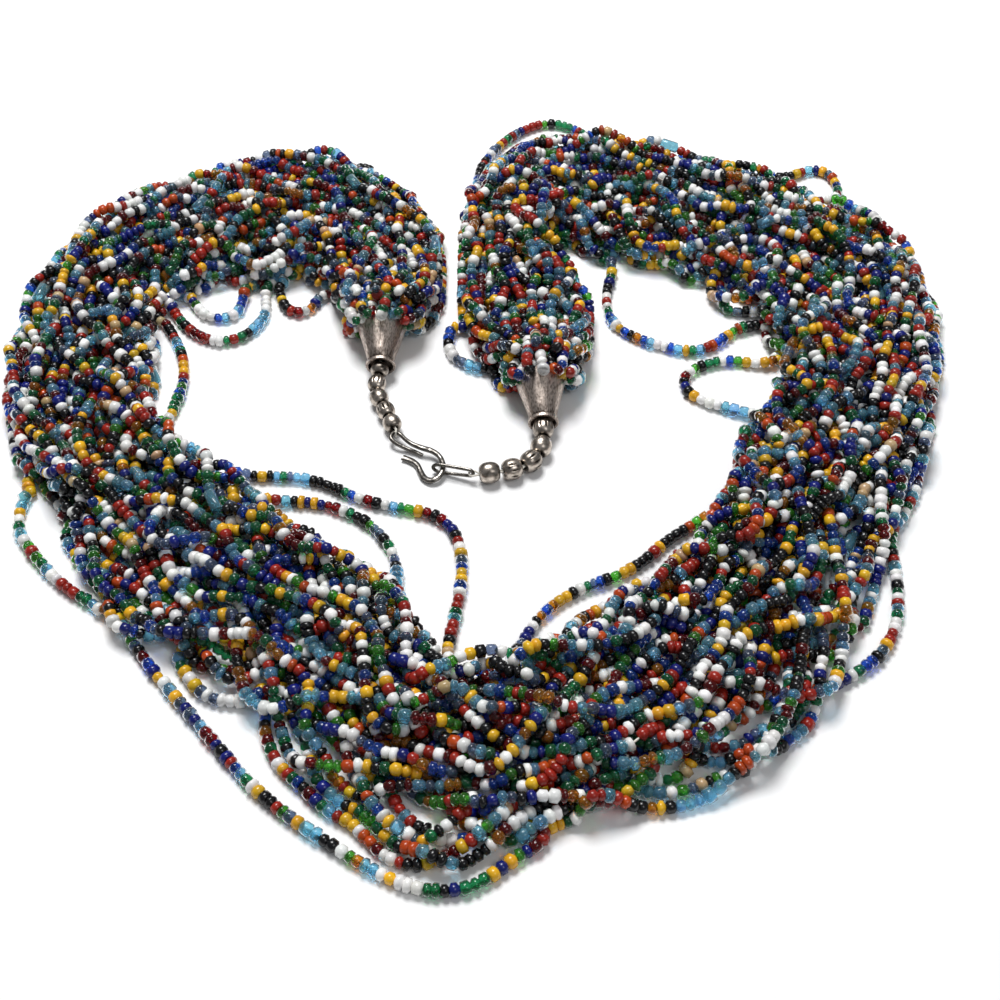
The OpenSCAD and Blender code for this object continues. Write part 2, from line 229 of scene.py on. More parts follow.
# %% Cuts across the bundle
# outer edge x and y, inner edge x and y, height of the top
CUTS = np.array([
    (-10.5, 27.5, -28.5, 28, 10.5), (-8, 34, -31, 33, 13), (-7.5, 45, -32.5, 39, 13),
    (-8.5, 57, -35, 41.5, 12), (-14, 71, -38.5, 42, 10.5), (-27, 84, -42, 42, 9.5),
    (-44, 89.5, -46, 41, 9), (-60, 83, -53, 39, 9), (-74, 74, -60, 38, 9.5),
    (-86, 60, -66, 36, 10.5), (-93, 44, -67.5, 31, 11), (-96, 27, -66, 23, 10),
    (-96, 12, -65, 13, 9.5), (-92, -3, -63.5, 3, 10), (-86, -17, -60, -5.5, 10.5),
    (-77, -31, -53.5, -10.5, 10), (-69, -42, -45.5, -17, 9.5), (-59, -51, -37.5, -24.5, 9),
    (-48, -60, -27.5, -31.5, 9), (-37, -71, -17, -38.5, 8.5), (-26, -82, -12, -48, 8.5),
    (-14, -91.5, -7.5, -58, 8.5), (-3, -95, -1, -61, 9), (8, -93.5, 7, -59.5, 9.5),
    (20, -89, 14, -52, 9), (34, -83, 22.5, -45.5, 9), (46, -75, 31.5, -40, 9),
    (56, -64, 39.5, -32, 9.5), (64, -49, 45, -23.5, 10), (71, -31, 48.5, -12.5, 11),
    (84, -16, 52, -2.5, 9.5), (90, 2, 57.5, 6.5, 10), (95.5, 24, 60, 16.5, 9.5),
    (95, 47, 56.5, 26, 8.5), (86, 66.5, 50, 35, 8.5), (71, 80.5, 43, 41, 8.5),
    (55.5, 86, 35, 47.5, 9), (39.5, 91, 26.5, 50, 9), (23, 94, 18.5, 54, 9.5),
    (8, 90, 15, 56.5, 11), (-0.5, 73, 13.5, 56, 14), (-4.5, 61, 14.5, 51.5, 14.5),
    (-5, 48, 18.5, 45, 13.5), (-5, 35.5, 23, 35, 12), (-3.5, 24, 24, 27, 12),
    (3, 15, 21.5, 17.5, 11.5), (6, 11, 18, 11.5, 10.5),
], float)
ROWS = len(CUTS) - 1
print("cuts:", len(CUTS))

# %% [markdown]
# ## A smooth way from cut to cut
# A bundle of threads has no corners, so the rows of the table are joined by a smooth curve.
# A Bezier curve object could do it, but its points would have to be read back. A Catmull-Rom
# curve is one formula, runs through every row, and gives ten cuts between each two. Each cut
# then has a middle, half a width, and a direction across.

# %% Smooth cuts
CUTS_PER_ROW = 10


def curve_through(places, per):
    """A smooth line through the places, with per points for each stretch."""
    p = np.asarray(places, float)
    q = np.vstack([2 * p[0] - p[1], p, 2 * p[-1] - p[-2]])
    t = (np.arange(per) / per)[:, None]
    stretches = []
    for a, b, c, d in zip(q[:-3], q[1:-2], q[2:-1], q[3:]):
        stretches.append((2 * b + (c - a) * t + (2 * a - 5 * b + 4 * c - d) * t**2
                          + (3 * b - a - 3 * c + d) * t**3) / 2)
    return np.vstack([*stretches, p[-1:]])


def run_along(line):
    """Distance from the start of a line to each of its points."""
    return np.r_[0, np.cumsum(np.linalg.norm(np.diff(line, axis=0), axis=1))]


cuts = curve_through(CUTS, CUTS_PER_ROW)
cut_row = np.arange(len(cuts)) / CUTS_PER_ROW
cut_middle = (cuts[:, :2] + cuts[:, 2:4]) / 2
cut_half = (cuts[:, :2] - cuts[:, 2:4]) / 2
cut_reach = np.linalg.norm(cut_half, axis=1)
cut_way = cut_half / cut_reach[:, None]
cut_top = cuts[:, 4]
cut_run = run_along(cut_middle)
print("bundle, mm along its middle:", round(cut_run[-1]))

# %% [markdown]
# ## Waves that carry the strands
# No strand keeps to one side. The strands drift over and under each other, as they do when
# a necklace is put down. Forty hand drawn curves would take days, so a strand's place across
# the bundle, from -1 at the inner edge to 1 at the outer one, is a sum of slow waves folded
# back at the edges. The seed makes the same strands come out every time.

# %% Waves
STRANDS = 36
BEAD = 2.25
HALF = BEAD / 2
SEED = 7
rng = np.random.default_rng(SEED)


def wave(run, shortest, longest):
    """A wave along the bundle with a length and a start of its own."""
    return np.sin(2 * math.pi * (run / rng.uniform(shortest, longest) + rng.uniform()))


def folded(x):
    """Turns back whatever runs past -1 or 1."""
    return 1 - np.abs((x + 1) % 4 - 2)


def softened(values, width):
    """Values along the bundle, blurred over a few millimetres."""
    step = cut_run[-1] / (len(values) - 1)
    reach = np.arange(-int(3 * width / step), int(3 * width / step) + 1)
    weight = np.exp(-0.5 * (reach * step / width) ** 2)
    padded = np.pad(values, len(reach) // 2, mode="edge")
    return np.convolve(padded, weight / weight.sum(), "valid")


print("strands:", STRANDS, "a bead's diameter, mm:", BEAD)

# %% [markdown]
# ## Thin edges
# Along a few stretches the outer strands lie apart on the table and spill over the edge of
# the mound, and the sheet shows between them. Those strands could be placed one by one. It
# is less work to name each stretch, how many strands it has and how far they spread, and to
# stretch the places across the bundle there.

# %% Where the edge thins out
# first row, last row, side, how far they spread within and past the edge, strands
THIN_EDGES = [
    (12.5, 16.5, 1, 0.40, 0.06, 4), (16.0, 23.4, 1, 0.46, 0.48, 6),
    (23.8, 30.2, 1, 0.46, 0.46, 8), (33.0, 37.0, 1, 0.40, 0.03, 4),
    (7.0, 11.0, -1, 0.36, 0.04, 3), (32.0, 37.5, -1, 0.40, 0.06, 4),
    (20.0, 27.0, -1, 0.24, 0.06, 3),
]
ROWS_TO_THIN = 1.5


def smooth_step(t):
    t = np.clip(t, 0, 1)
    return t * t * (3 - 2 * t)


def thinning(first, last):
    """How fully each cut lies in a thin stretch, from 0 to 1."""
    return smooth_step(np.minimum(cut_row - first, last - cut_row) / ROWS_TO_THIN)


def thinned(across):
    """Spreads the few strands that lie at a thin edge."""
    for first, last, side, within, past, count in THIN_EDGES:
        here = thinning(first, last)
        packed = 2 * count / STRANDS
        kept = packed + (within - packed) * here
        place = across * side
        edge = 1 + past * here - (1 - place) / packed * (kept + past * here)
        rest = (place + 1) / (2 - packed) * (2 - kept) - 1
        across = np.where(place > 1 - packed, edge, rest) * side
    return across


# room on each side of the middle, in mm
room = {1: cut_reach - HALF, -1: cut_reach - HALF}
for first, last, side, _, past, _ in THIN_EDGES:
    room[side] = room[side] * (1 + past * thinning(first, last))
print("widest reach from the middle, mm:", round(max(room[1].max(), room[-1].max()), 1))

# %% [markdown]
# ## Ways along the bundle
# Each strand starts from a seat across the bundle and a level in it, and the waves carry it
# from there. Waves alone leave some parts crowded and others bare. More strands would fill
# the bare parts, but then nothing would fit elsewhere, so at each cut the strands also share
# the width out by their order.

# %% Where each strand runs
# shortest and longest wave, mm, and how far it carries a strand
DRIFTS = [(260, 420, 0.45), (110, 190, 0.25), (36, 68, 0.30)]
RISES = [(150, 260, 0.30), (60, 110, 0.25), (26, 44, 0.35)]
# how much of a strand's place is its own, and how much its share of the width
OWN_WAY, SHARED_WAY = 0.3, 0.7
SOFT_TURNS = 4


def carried(start, waves):
    """A start that is carried off by waves, and folded back at the edges."""
    return folded(start + sum(size * wave(cut_run, short, long) for short, long, size in waves))


seats = (rng.permutation(STRANDS) + 0.5) / STRANDS * 2 - 1
levels = (rng.permutation(STRANDS) + 0.5) / STRANDS * 2 - 1
across, height = [], []
for seat, level in zip(seats, levels):
    across.append(carried(seat, DRIFTS))
    height.append(softened((carried(level, RISES) + 1) / 2, SOFT_TURNS))
# each strand's share of the width, by its order at every cut
shared = (np.argsort(np.argsort(across, axis=0), axis=0) + 0.5) / STRANDS * 2 - 1
across = [softened(thinned(OWN_WAY * own + SHARED_WAY * share), SOFT_TURNS)
          for own, share in zip(across, shared)]
print("changes of side for each strand:",
      round(np.mean([(np.diff(np.sign(a)) != 0).sum() for a in across]), 1))

# %% [markdown]
# ## Slack
# Such strands are about equally long, but the way round the inside of a curve is shorter.
# On the real necklace the inner strands take up the rest in small bends. Those bends could
# come from a rope simulation. A wave whose size is found by halving, until the strand has
# its length, is quicker. A strand whose way is long already keeps a small bend and comes
# out longer, by up to a sixth.

# %% Bends that take up the slack
STRAND_LENGTH = 620
SMALLEST_BEND, LARGEST_BEND = 2.0, 7.0
HALVINGS = 12
# the length of a bend, how much its pace changes, and over what length, mm
BEND_LENGTHS = (18, 31)
PACE, PACE_LENGTHS = 0.35, (70, 120)
# bends are small for 12 mm at a cone, then grow over 25 mm
CALM, GROWING, SMALLEST_SHARE = 12, 25, 0.15
# the size of bends at the outer edge, and what they gain up to the inner one
OUTER_BENDS, INNER_GAIN = 0.6, 0.4
# what is pushed past the edge comes back inside it by this share
TURNED_BACK = 0.5


def placed(place, slack):
    """Points on the ground for places across the bundle, with bends added to them."""
    at = place * (cut_reach - HALF) + slack
    at = np.where(at > room[1], (1 + TURNED_BACK) * room[1] - TURNED_BACK * at, at)
    at = np.where(at < -room[-1], -(1 + TURNED_BACK) * room[-1] - TURNED_BACK * at, at)
    return cut_middle + cut_way * at[:, None]


def bends_of(place):
    """Bends of uneven length, stronger at the inner edge and small at the cones."""
    pace = 1 + PACE * wave(cut_run, *PACE_LENGTHS)
    travel = np.cumsum(np.r_[0, np.diff(cut_run)] * pace)
    size = np.clip(OUTER_BENDS + INNER_GAIN * (1 - place) / 2, OUTER_BENDS, 1)
    bends = wave(travel, *BEND_LENGTHS) * size
    past_calm = np.minimum(cut_run - CALM, cut_run[-1] - CALM - cut_run)
    return bends * np.clip(past_calm / GROWING, SMALLEST_SHARE, 1)


def with_slack(place):
    """The strand's line on the ground, with bends of the size that its length asks for."""
    bends = bends_of(place)
    small, large = SMALLEST_BEND, LARGEST_BEND
    for _ in range(HALVINGS):
        size = (small + large) / 2
        if run_along(placed(place, size * bends))[-1] < STRAND_LENGTH:
            small = size
        else:
            large = size
    return placed(place, size * bends)


lines = [with_slack(place) for place in across]
print("strand lengths, mm:", sorted({round(run_along(line)[-1]) for line in lines}))

# %% [markdown]
# ## Strands that stray
# Fifteen strands leave the bundle in a loop and lie alone on the table. Waves could throw
# out loops as well, but never these ones. Their routes were judged against the
# necklace, and they are the same lists as in the imported model.

# %% Routes of the loose loops
LOOSE = [
    [(-46, -14.5), (-38, -14.5), (-31, -15.5), (-25, -19), (-18, -22), (-9, -24),
     (-4.5, -28), (-3, -35), (-3, -42), (-4, -49), (-5.5, -58.5)],
    [(-39.5, -21), (-33, -21), (-27, -22.5), (-21, -26), (-17.5, -30), (-15, -35), (-14.5, -40)],
    [(-65.5, 35), (-61, 28), (-55, 24), (-50, 25), (-46.5, 29), (-45, 34), (-46.5, 40)],
    [(-43, 41), (-42, 35.5), (-38.5, 32.5), (-35, 35), (-35, 40)],
    [(-61, 37), (-58, 32), (-53.5, 31), (-50.5, 34), (-51, 39)],
    [(-65.5, 29.5), (-61.5, 21), (-60, 15), (-60, 9), (-61.5, 0.5)],
    [(-85.5, -20), (-85.5, -27), (-82, -33), (-77, -39), (-72, -43.5), (-66, -47)],
    [(-63, -49.5), (-60, -54), (-56, -60), (-51, -66), (-46, -72), (-41, -78), (-36, -84),
     (-29, -90), (-22, -95), (-16, -99), (-10, -102), (-4, -103), (1, -101.5), (5, -98),
     (11, -94)],
    [(76, -27.5), (75.5, -35), (75, -44), (73, -52), (69, -58), (63, -62.5), (56.5, -65.5)],
    [(71.5, 81), (76, 84.5), (80, 83), (81.5, 78), (80.5, 74.5)],
    [(29, 49), (27, 41.5), (26.5, 35), (27.5, 30), (31, 26), (37, 23), (42, 21), (47, 22),
     (54, 29)],
    [(59, 16.5), (51, 18.5), (45.5, 17), (41.5, 14.5), (40.5, 11), (42.5, 7.5), (47, 5),
     (54.5, 2.5)],
    [(-1.5, 75), (-1, 80), (0, 86), (4, 94), (9, 99.5), (15, 103), (21, 101), (26.5, 94.5)],
    [(-6, 28.5), (-7, 23), (-5, 18), (-1, 14), (4, 9.5)],
    [(7, -57.5), (9.5, -51), (13, -46.5), (18, -42.5), (24, -40), (29.5, -36.5), (34.5, -31),
     (42.5, -25)],
]
print("loose loops:", len(LOOSE))

# %% [markdown]
# ## A strand for each loop
# A loop is a stretch of one of the bundle's own strands, not an extra piece. So each route
# is given to the strand that passes nearest to both of its ends, and a strand that has one
# already counts as further off. The strand is bent towards the route before it leaves the
# bundle, and comes down to the table there, so that there is no corner.

# %% Giving the loops to strands
# cuts over which a strand is led to a route, and comes down to it, and by what share
LEAD, CUTS_TO_SINK, LOWERED = 20, 10, 0.8
CUTS_BETWEEN_LOOPS = 40
# mm that a strand with a loop counts as further off, and what a mm past a cut's end costs
SECOND_LOOP_COST, PAST_EDGE_COST = 25, 0.7
# points for each stretch of a route
LOOP_POINTS = 8


def nearest_cut(point):
    """The cut across the bundle that passes nearest to a point."""
    away = point - cut_middle
    off = np.abs(cut_way[:, 0] * away[:, 1] - cut_way[:, 1] * away[:, 0])
    past = np.maximum(np.abs((away * cut_way).sum(1)) - cut_reach, 0)
    return int(np.argmin(off + PAST_EDGE_COST * past))


def nearest_strand(first, last, route):
    """The strand that is free there and passes nearest to both ends of the route."""
    costs = {}
    for k in range(STRANDS):
        if all(last + CUTS_BETWEEN_LOOPS < a or first - CUTS_BETWEEN_LOOPS > b
               for a, b, _ in loops[k]):
            costs[k] = (np.linalg.norm(lines[k][first] - route[0])
                        + np.linalg.norm(lines[k][last] - route[-1])
                        + SECOND_LOOP_COST * len(loops[k]))
    return min(costs, key=costs.get)


def bend_towards(k, cut, end, way):
    """Leads a strand to the end of a route over the cuts before it, and lowers it there."""
    shift = end - lines[k][cut]
    for step in range(LEAD + 1):
        near = cut + way * step
        if 0 <= near < len(lines[k]):
            lines[k][near] += shift * smooth_step(1 - step / LEAD)
            height[k][near] *= 1 - LOWERED * smooth_step(1 - step / CUTS_TO_SINK)


loops = {k: [] for k in range(STRANDS)}
carries = {}
for number, route in enumerate(LOOSE, 1):
    route = np.array(route, float)
    first, last = nearest_cut(route[0]), nearest_cut(route[-1])
    if first > last:
        route, first, last = route[::-1], last, first
    k = nearest_strand(first, last, route)
    carries[number] = k
    bend_towards(k, first, route[0], -1)
    bend_towards(k, last, route[-1], 1)
    loops[k].append((first, last, curve_through(route, LOOP_POINTS)))
print("loop and strand:", carries)

# %% [markdown]
# ## Ends at the cones
# The cones hold the strands' threads. The last beads crowd the mouth, and some of them
# hang over the rim. The ends could all be led to one point, but then they would run
# through each other. So the ends get places of their own, in rings inside and round the
# mouth. The outer ones hang over the rim above, stay behind it below, and turn in, so that
# no bead shows its end.

# %% Places at each mouth
LEFT_MOUTH, LEFT_COLLAR = np.array([-20.2, 24.7, 5.1]), np.array([-20.1, 14.4, 3.05])
RIGHT_MOUTH, RIGHT_COLLAR = np.array([12, 8.3, 5.1]), np.array([12.45, -1.9, 3.05])
# ring radius, how many, how far they go into the mouth, and how far they turn in at last
END_RINGS = [(0, 1, 2.2, 0), (2.5, 5, 1.8, 0), (4.4, 6, -1.3, 0), (6.5, 14, 2.7, 2.4),
             (7.8, 10, -3.6, 2.8)]
# how uneven the ends are, and how far they are set back beside the mouth and below it
RAGGED, SIDE_SET_BACK, LOW_SET_BACK = 0.6, 1.8, 1.5
# places on the table keep this far from the cone's axis, and more past the second radius
CLEAR_OF_CONE, OUTER_RINGS = 6.4, 6
# mm before the mouth where the outer ends stop
SHORT_OF_MOUTH = 1.25
# how far rings are turned against each other, as a share of a place
RING_TURN = 0.3


def unit(v):
    return v / np.linalg.norm(v)


def beside_the_cone(place, mouth, side, radius):
    """Moves a place that would be under the table to the table beside the cone."""
    aside = (place - mouth) @ side
    clear = math.sqrt(CLEAR_OF_CONE**2 - (mouth[2] - HALF)**2) + max(0, radius - OUTER_RINGS)
    if abs(aside) < clear:
        place = place + side * (math.copysign(clear, aside) - aside)
    place[2] = HALF
    return place


def end_places(mouth, collar):
    """Places for the strands' ends, with the direction into the cone."""
    inward = unit(collar - mouth)
    side = unit(np.cross(inward, (0, 0, 1)))
    up = np.cross(side, inward)
    places = []
    for radius, count, depth, turn_in in END_RINGS:
        for turn in 2 * math.pi * (np.arange(count) + RING_TURN * (count % 3)) / count:
            outward = side * math.cos(turn) + up * math.sin(turn)
            hang = depth
            if turn_in:
                low = 1 - math.sin(turn)
                hang += (rng.uniform(-RAGGED, RAGGED) - SIDE_SET_BACK * low
                         - LOW_SET_BACK * max(0, low - 1))
            place = mouth + inward * hang + outward * radius
            if place[2] < HALF:
                place = beside_the_cone(place, mouth, side, radius)
            end = place - outward * turn_in
            if turn_in:
                end = end - inward * max(0, (end - mouth) @ inward + SHORT_OF_MOUTH)
            end[2] = max(end[2], HALF)
            places.append(((place, end), radius * math.cos(turn), radius * math.sin(turn)))
    return places, inward, side


print("places at each mouth:", sum(ring[1] for ring in END_RINGS))

# %% [markdown]
# ## Which strand ends where
# If the strands took their places in any order, they would have to cross in front of the
# cone. A look along the cone's axis settles it: each place goes to the free strand that is
# seen nearest to it, and the outer places choose first, because they can be reached from
# one side only. The strand is then cut off a little before the cone and led to its place.

# %% Leading the strands in
LAID, HELD, FIXED = 0, 1, 2
# the wide, low bundle is seen narrower and taller, about its middle height, to fit the rings
SEEN_ACROSS, SEEN_UP, SEEN_MIDDLE = 0.75, 1.2, 6
# mm that are cut off, mm that run straight in, and how far these lean to where they come from
CUT_OFF, STRAIGHT_IN, LEANING = 8, 2.5, 0.05
# mm within which a place and its end are one
SAME_PLACE = 0.1


def strands_to_places(ways, mouth, collar, station):
    """Gives each place to the free strand that runs nearest to it, the outer ones first."""
    places, inward, side = end_places(mouth, collar)
    seen = [((way[station, :3] - mouth) @ side * SEEN_ACROSS,
             (way[station, 2] - SEEN_MIDDLE) * SEEN_UP) for way in ways]
    free = set(range(STRANDS))
    ends = {}
    for place, right, above in sorted(places, key=lambda p: -math.hypot(p[1], p[2])):
        k = min(free, key=lambda q: math.hypot(seen[q][0] - right, seen[q][1] - above))
        free.discard(k)
        ends[k] = place
    return ends, inward


def led_in(way, place, inward):
    """Cuts a way off before the cone and leads it to its place."""
    place, end = place
    keep = int(np.argmax((way[:, :3] - place) @ -inward > CUT_OFF))
    way = way[keep:]
    before = place - inward * STRAIGHT_IN + (way[0, :3] - place) * LEANING
    lead = [[*end, FIXED, way[0, 4]], [*before, LAID, way[0, 4]]]
    if np.linalg.norm(place - end) > SAME_PLACE:
        lead.insert(1, [*place, HELD, way[0, 4]])
    return np.vstack([lead, way])


print("ways of holding a point:", {"laid": LAID, "held": HELD, "fixed": FIXED})

# %% [markdown]
# ## Whole strands
# Now each strand gets its height, its loops and its two ends. A strand is kept as one
# array: x, y, z, how firmly the point is held, and the row of CUTS that it lies at. So
# every later step finds all it needs in one place. The heap starts too high on purpose,
# because it is easier to let strands sink than to lift them apart.

# %% Ways with height, loops and ends
HEAP = 1.7
# the points whose places are compared with those at the left and the right mouth
LEFT_STATION, RIGHT_STATION = 14, -15

ways = []
for k, line in enumerate(lines):
    z = HALF + height[k] * (cut_top - BEAD) * HEAP
    way = np.column_stack([line, z, np.full(len(line), LAID), cut_row])
    for first, last, loop in sorted(loops[k], key=lambda part: -part[0]):
        between = np.linspace(first, last, len(loop)) / CUTS_PER_ROW
        low = np.column_stack([loop, np.full(len(loop), HALF), np.full(len(loop), HELD), between])
        way = np.vstack([way[:first], low, way[last + 1:]])
    ways.append(way)
left_ends, into_left = strands_to_places(ways, LEFT_MOUTH, LEFT_COLLAR, LEFT_STATION)
right_ends, into_right = strands_to_places(ways, RIGHT_MOUTH, RIGHT_COLLAR, RIGHT_STATION)
for k in range(STRANDS):
    way = led_in(ways[k], left_ends[k], into_left)
    ways[k] = led_in(way[::-1], right_ends[k], into_right)[::-1]
print("ends led in:", len(left_ends) + len(right_ends))

# %% [markdown]
# ## A chain of points
# To let the strands settle, each becomes a chain of points 1.5 mm apart, about one for
# every bead. A point for each bead would be truer, but the beads differ in length, and
# even spacing keeps the sums simple. Each chain is first smoothed a little along itself.

# %% Points along the strands
STEP = 1.5
SMOOTHING = 5
# mm at an end that aren't smoothed, over how many mm it begins, and the most of it
SMOOTH_FROM, SMOOTH_OVER, MOST_SMOOTHING = 4.8, 8, 0.5
# mm below which two points are one
ONE_POINT = 1e-6


def chain_of(way):
    """Evenly spaced points along a way, smoothed except at its very ends."""
    run = run_along(way[:, :3])
    moved = np.r_[True, np.diff(run) > ONE_POINT]
    way, run = way[moved], run[moved]
    even = np.linspace(0, run[-1], round(run[-1] / STEP) + 1)
    chain = np.column_stack([np.interp(even, run, column) for column in way.T])
    to_end = np.minimum(even, even[-1] - even)
    share = MOST_SMOOTHING * np.clip((to_end - SMOOTH_FROM) / SMOOTH_OVER, 0, 1)[1:-1, None]
    for _ in range(SMOOTHING):
        chain[1:-1, :3] += share * ((chain[:-2, :3] + chain[2:, :3]) / 2 - chain[1:-1, :3])
    return chain


chains = [chain_of(way) for way in ways]
points = np.vstack([chain[:, :3] for chain in chains])
hold = np.concatenate([chain[:, 3] for chain in chains])
row = np.concatenate([chain[:, 4] for chain in chains])
strand = np.repeat(np.arange(STRANDS), [len(chain) for chain in chains])
print("points:", len(points))

# %% [markdown]
# ## Who touches whom
# Sixteen thousand points make far too many pairs to test. The usual way round this is a
# grid: points are sorted by the cell that they are in, and only the cells next door are
# looked at. numpy's searchsorted finds a whole cell's points at once, with no loop.

# %% Neighbours
# half of the cells round a cell, so that no pair is found twice
NEXT_DOOR = [(a, b, c) for a in (0, 1) for b in (-1, 0, 1) for c in (-1, 0, 1)
             if (a, b, c) >= (0, 0, 0)]


def near_pairs(x, reach):
    """Pairs of points nearer than reach, leaving out next neighbours on one strand."""
    cell = np.floor(x / reach).astype(np.int64)
    cell -= cell.min(0) - 1
    ny, nz = cell[:, 1].max() + 2, cell[:, 2].max() + 2
    key = (cell[:, 0] * ny + cell[:, 1]) * nz + cell[:, 2]
    order = np.argsort(key, kind="stable")
    ranked = key[order]
    ones, others = [], []
    for step in NEXT_DOOR:
        there = key + (step[0] * ny + step[1]) * nz + step[2]
        low = np.searchsorted(ranked, there, "left")
        many = np.searchsorted(ranked, there, "right") - low
        i = np.repeat(np.arange(len(x)), many)
        j = np.arange(len(i)) - np.repeat(np.cumsum(many) - many, many) + np.repeat(low, many)
        j = order[j]
        keep = i < j if step == (0, 0, 0) else np.full(len(i), True)
        ones.append(i[keep])
        others.append(j[keep])
    i, j = np.concatenate(ones), np.concatenate(others)
    near = ((x[i] - x[j]) ** 2).sum(1) < reach * reach
    near &= (strand[i] != strand[j]) | (np.abs(i - j) > 2)
    return i[near], j[near]


print("pairs before settling:", len(near_pairs(points, BEAD)[0]))

# %% [markdown]
# ## Keeping off the cones
# Beads can't pass through silver, and only a few of them hang over the rim. A collision
# mesh would test every face, but a cone needs only a radius for each distance along its
# axis, and whatever is nearer than that and half a bead is pushed straight out. The rule
# narrows faster than the silver does, which is enough, since few beads come so far along.

# %% Round the cones
CONE_MOUTH_R = 5.05
CONE_TAPER = 0.39
CONE_REACH = 9
# the rule starts this share of half a bead before the mouth
BEFORE_MOUTH = 0.8
# between these radii points are pushed back and not out, by this share of their way
RIM_IN, MOUTH_IN, BACK_FROM_MOUTH = 4.2, 3.2, 0.6
# the heap's radius at the mouth, how much further beads may hang for each mm of height,
# how far back that starts, and by what share a bead past it is drawn back
HEAP_R, HANG, SET_BACK, DRAWN_BACK = 13, 0.42, 1.6, 0.5
# added to lengths that are divided by
TINY = 1e-9


def off_the_cone(x, some, mouth, collar):
    """Keeps strands outside a cone, and lets them hang only a little over its rim."""
    inward = unit(collar - mouth)
    away = x[some] - mouth
    along = away @ inward
    out = away - along[:, None] * inward
    off = np.linalg.norm(out, axis=1) + TINY
    wall = CONE_MOUTH_R - CONE_TAPER * np.clip(along, 0, CONE_REACH) + HALF
    at_cone = (along > -BEFORE_MOUTH * HALF) & (along < CONE_REACH)
    beside = at_cone & (off < wall) & (off > RIM_IN)
    x[some[beside]] += out[beside] * ((wall - off) / off)[beside, None]
    inside = at_cone & (off > MOUTH_IN) & (off <= RIM_IN)
    x[some[inside]] -= inward * (along[inside, None] + HALF) * BACK_FROM_MOUTH
    limit = HANG * x[some, 2] - SET_BACK
    past = (along > limit) & (off < HEAP_R)
    x[some[past]] -= inward * ((along - limit)[past, None] * DRAWN_BACK)


print("beads at the mouth keep this far from the axis, mm:", round(CONE_MOUTH_R + HALF, 2))

# %% [markdown]
# ## Pushing apart and pulling together
# Blender has soft bodies, but they don't keep thousands of thin threads apart. Position
# based dynamics does, in a few lines. It knows no forces, only rules for where points may
# be. The two main rules are that beads don't share room, and that threads don't stretch.

# %% Two rules for the chains
PUSH = 0.8


def push_apart(x, one, other, radius):
    """Moves points that are too near apart, each by the mean of all the pushes it gets."""
    apart = x[other] - x[one]
    gap = np.sqrt((apart * apart).sum(1)) + TINY
    over = radius[one] + radius[other] - gap
    hit = over > 0
    i, j = one[hit], other[hit]
    push = apart[hit] * (PUSH * over[hit] / gap[hit])[:, None]
    hits = np.bincount(i, minlength=len(x)) + np.bincount(j, minlength=len(x))
    for axis in range(3):
        move = np.bincount(j, push[:, axis], len(x)) - np.bincount(i, push[:, axis], len(x))
        x[:, axis] += move / np.maximum(hits, 1)


def restore_lengths(x, link, rest):
    """Brings linked points back to their distance, first the even links, then the odd."""
    for odd in (0, 1):
        these = link % 2 == odd
        a = link[these]
        stretch = x[a + 1] - x[a]
        now = np.linalg.norm(stretch, axis=1) + TINY
        pull = stretch * (0.5 * (now - rest[these]) / now)[:, None]
        x[a] += pull
        x[a + 1] -= pull


print("a push, as a share of the overlap:", PUSH)

# %% [markdown]
# ## Letting the strands settle
# When a necklace is put down, its strands sink, slide off each other and come to rest. Every
# round here lets the points sink a little, applies the two rules, and takes back whatever
# went through the table, a cone or the edge of the bundle. The sinking fades out, so that
# the last rounds only tidy up. Loops on the table hardly move.

# %% Settling
ROUNDS = 240
# neighbours are looked up every few rounds, as far as this, mm
ROUNDS_PER_LOOK, LOOK = 5, 3.1
# mm that a point sinks in the first round, how fast that fades, and the share that stays
SINK, FADE, LAST_SINK = 0.14, 1.6, 0.12
LOWEST = HALF + 0.08
# half a bead's room by a cone, what it gains elsewhere, mm, and over how many rows
TIGHT, LOOSER, ROWS_TO_LOOSER = 1.08, 0.18, 6
# rows that may touch a cone, and rows by a cone where the edge doesn't hold
ROWS_AT_CONE, ROWS_FREE = 3, 0.5
# how much is eased, drawn home, held and taken back from past the edge in a round
EASING, HOMING, HOLDING, EDGING = 0.06, 0.02, 0.25, 0.5
# mm of overlap that are counted at the end
DEEP = 0.5


def spread(values):
    """Values of the cuts for every point, by its row."""
    at = np.clip(row * CUTS_PER_ROW, 0, len(cut_run) - 1)
    if values.ndim == 1:
        return np.interp(at, np.arange(len(values)), values)
    return np.column_stack([np.interp(at, np.arange(len(values)), v) for v in values.T])


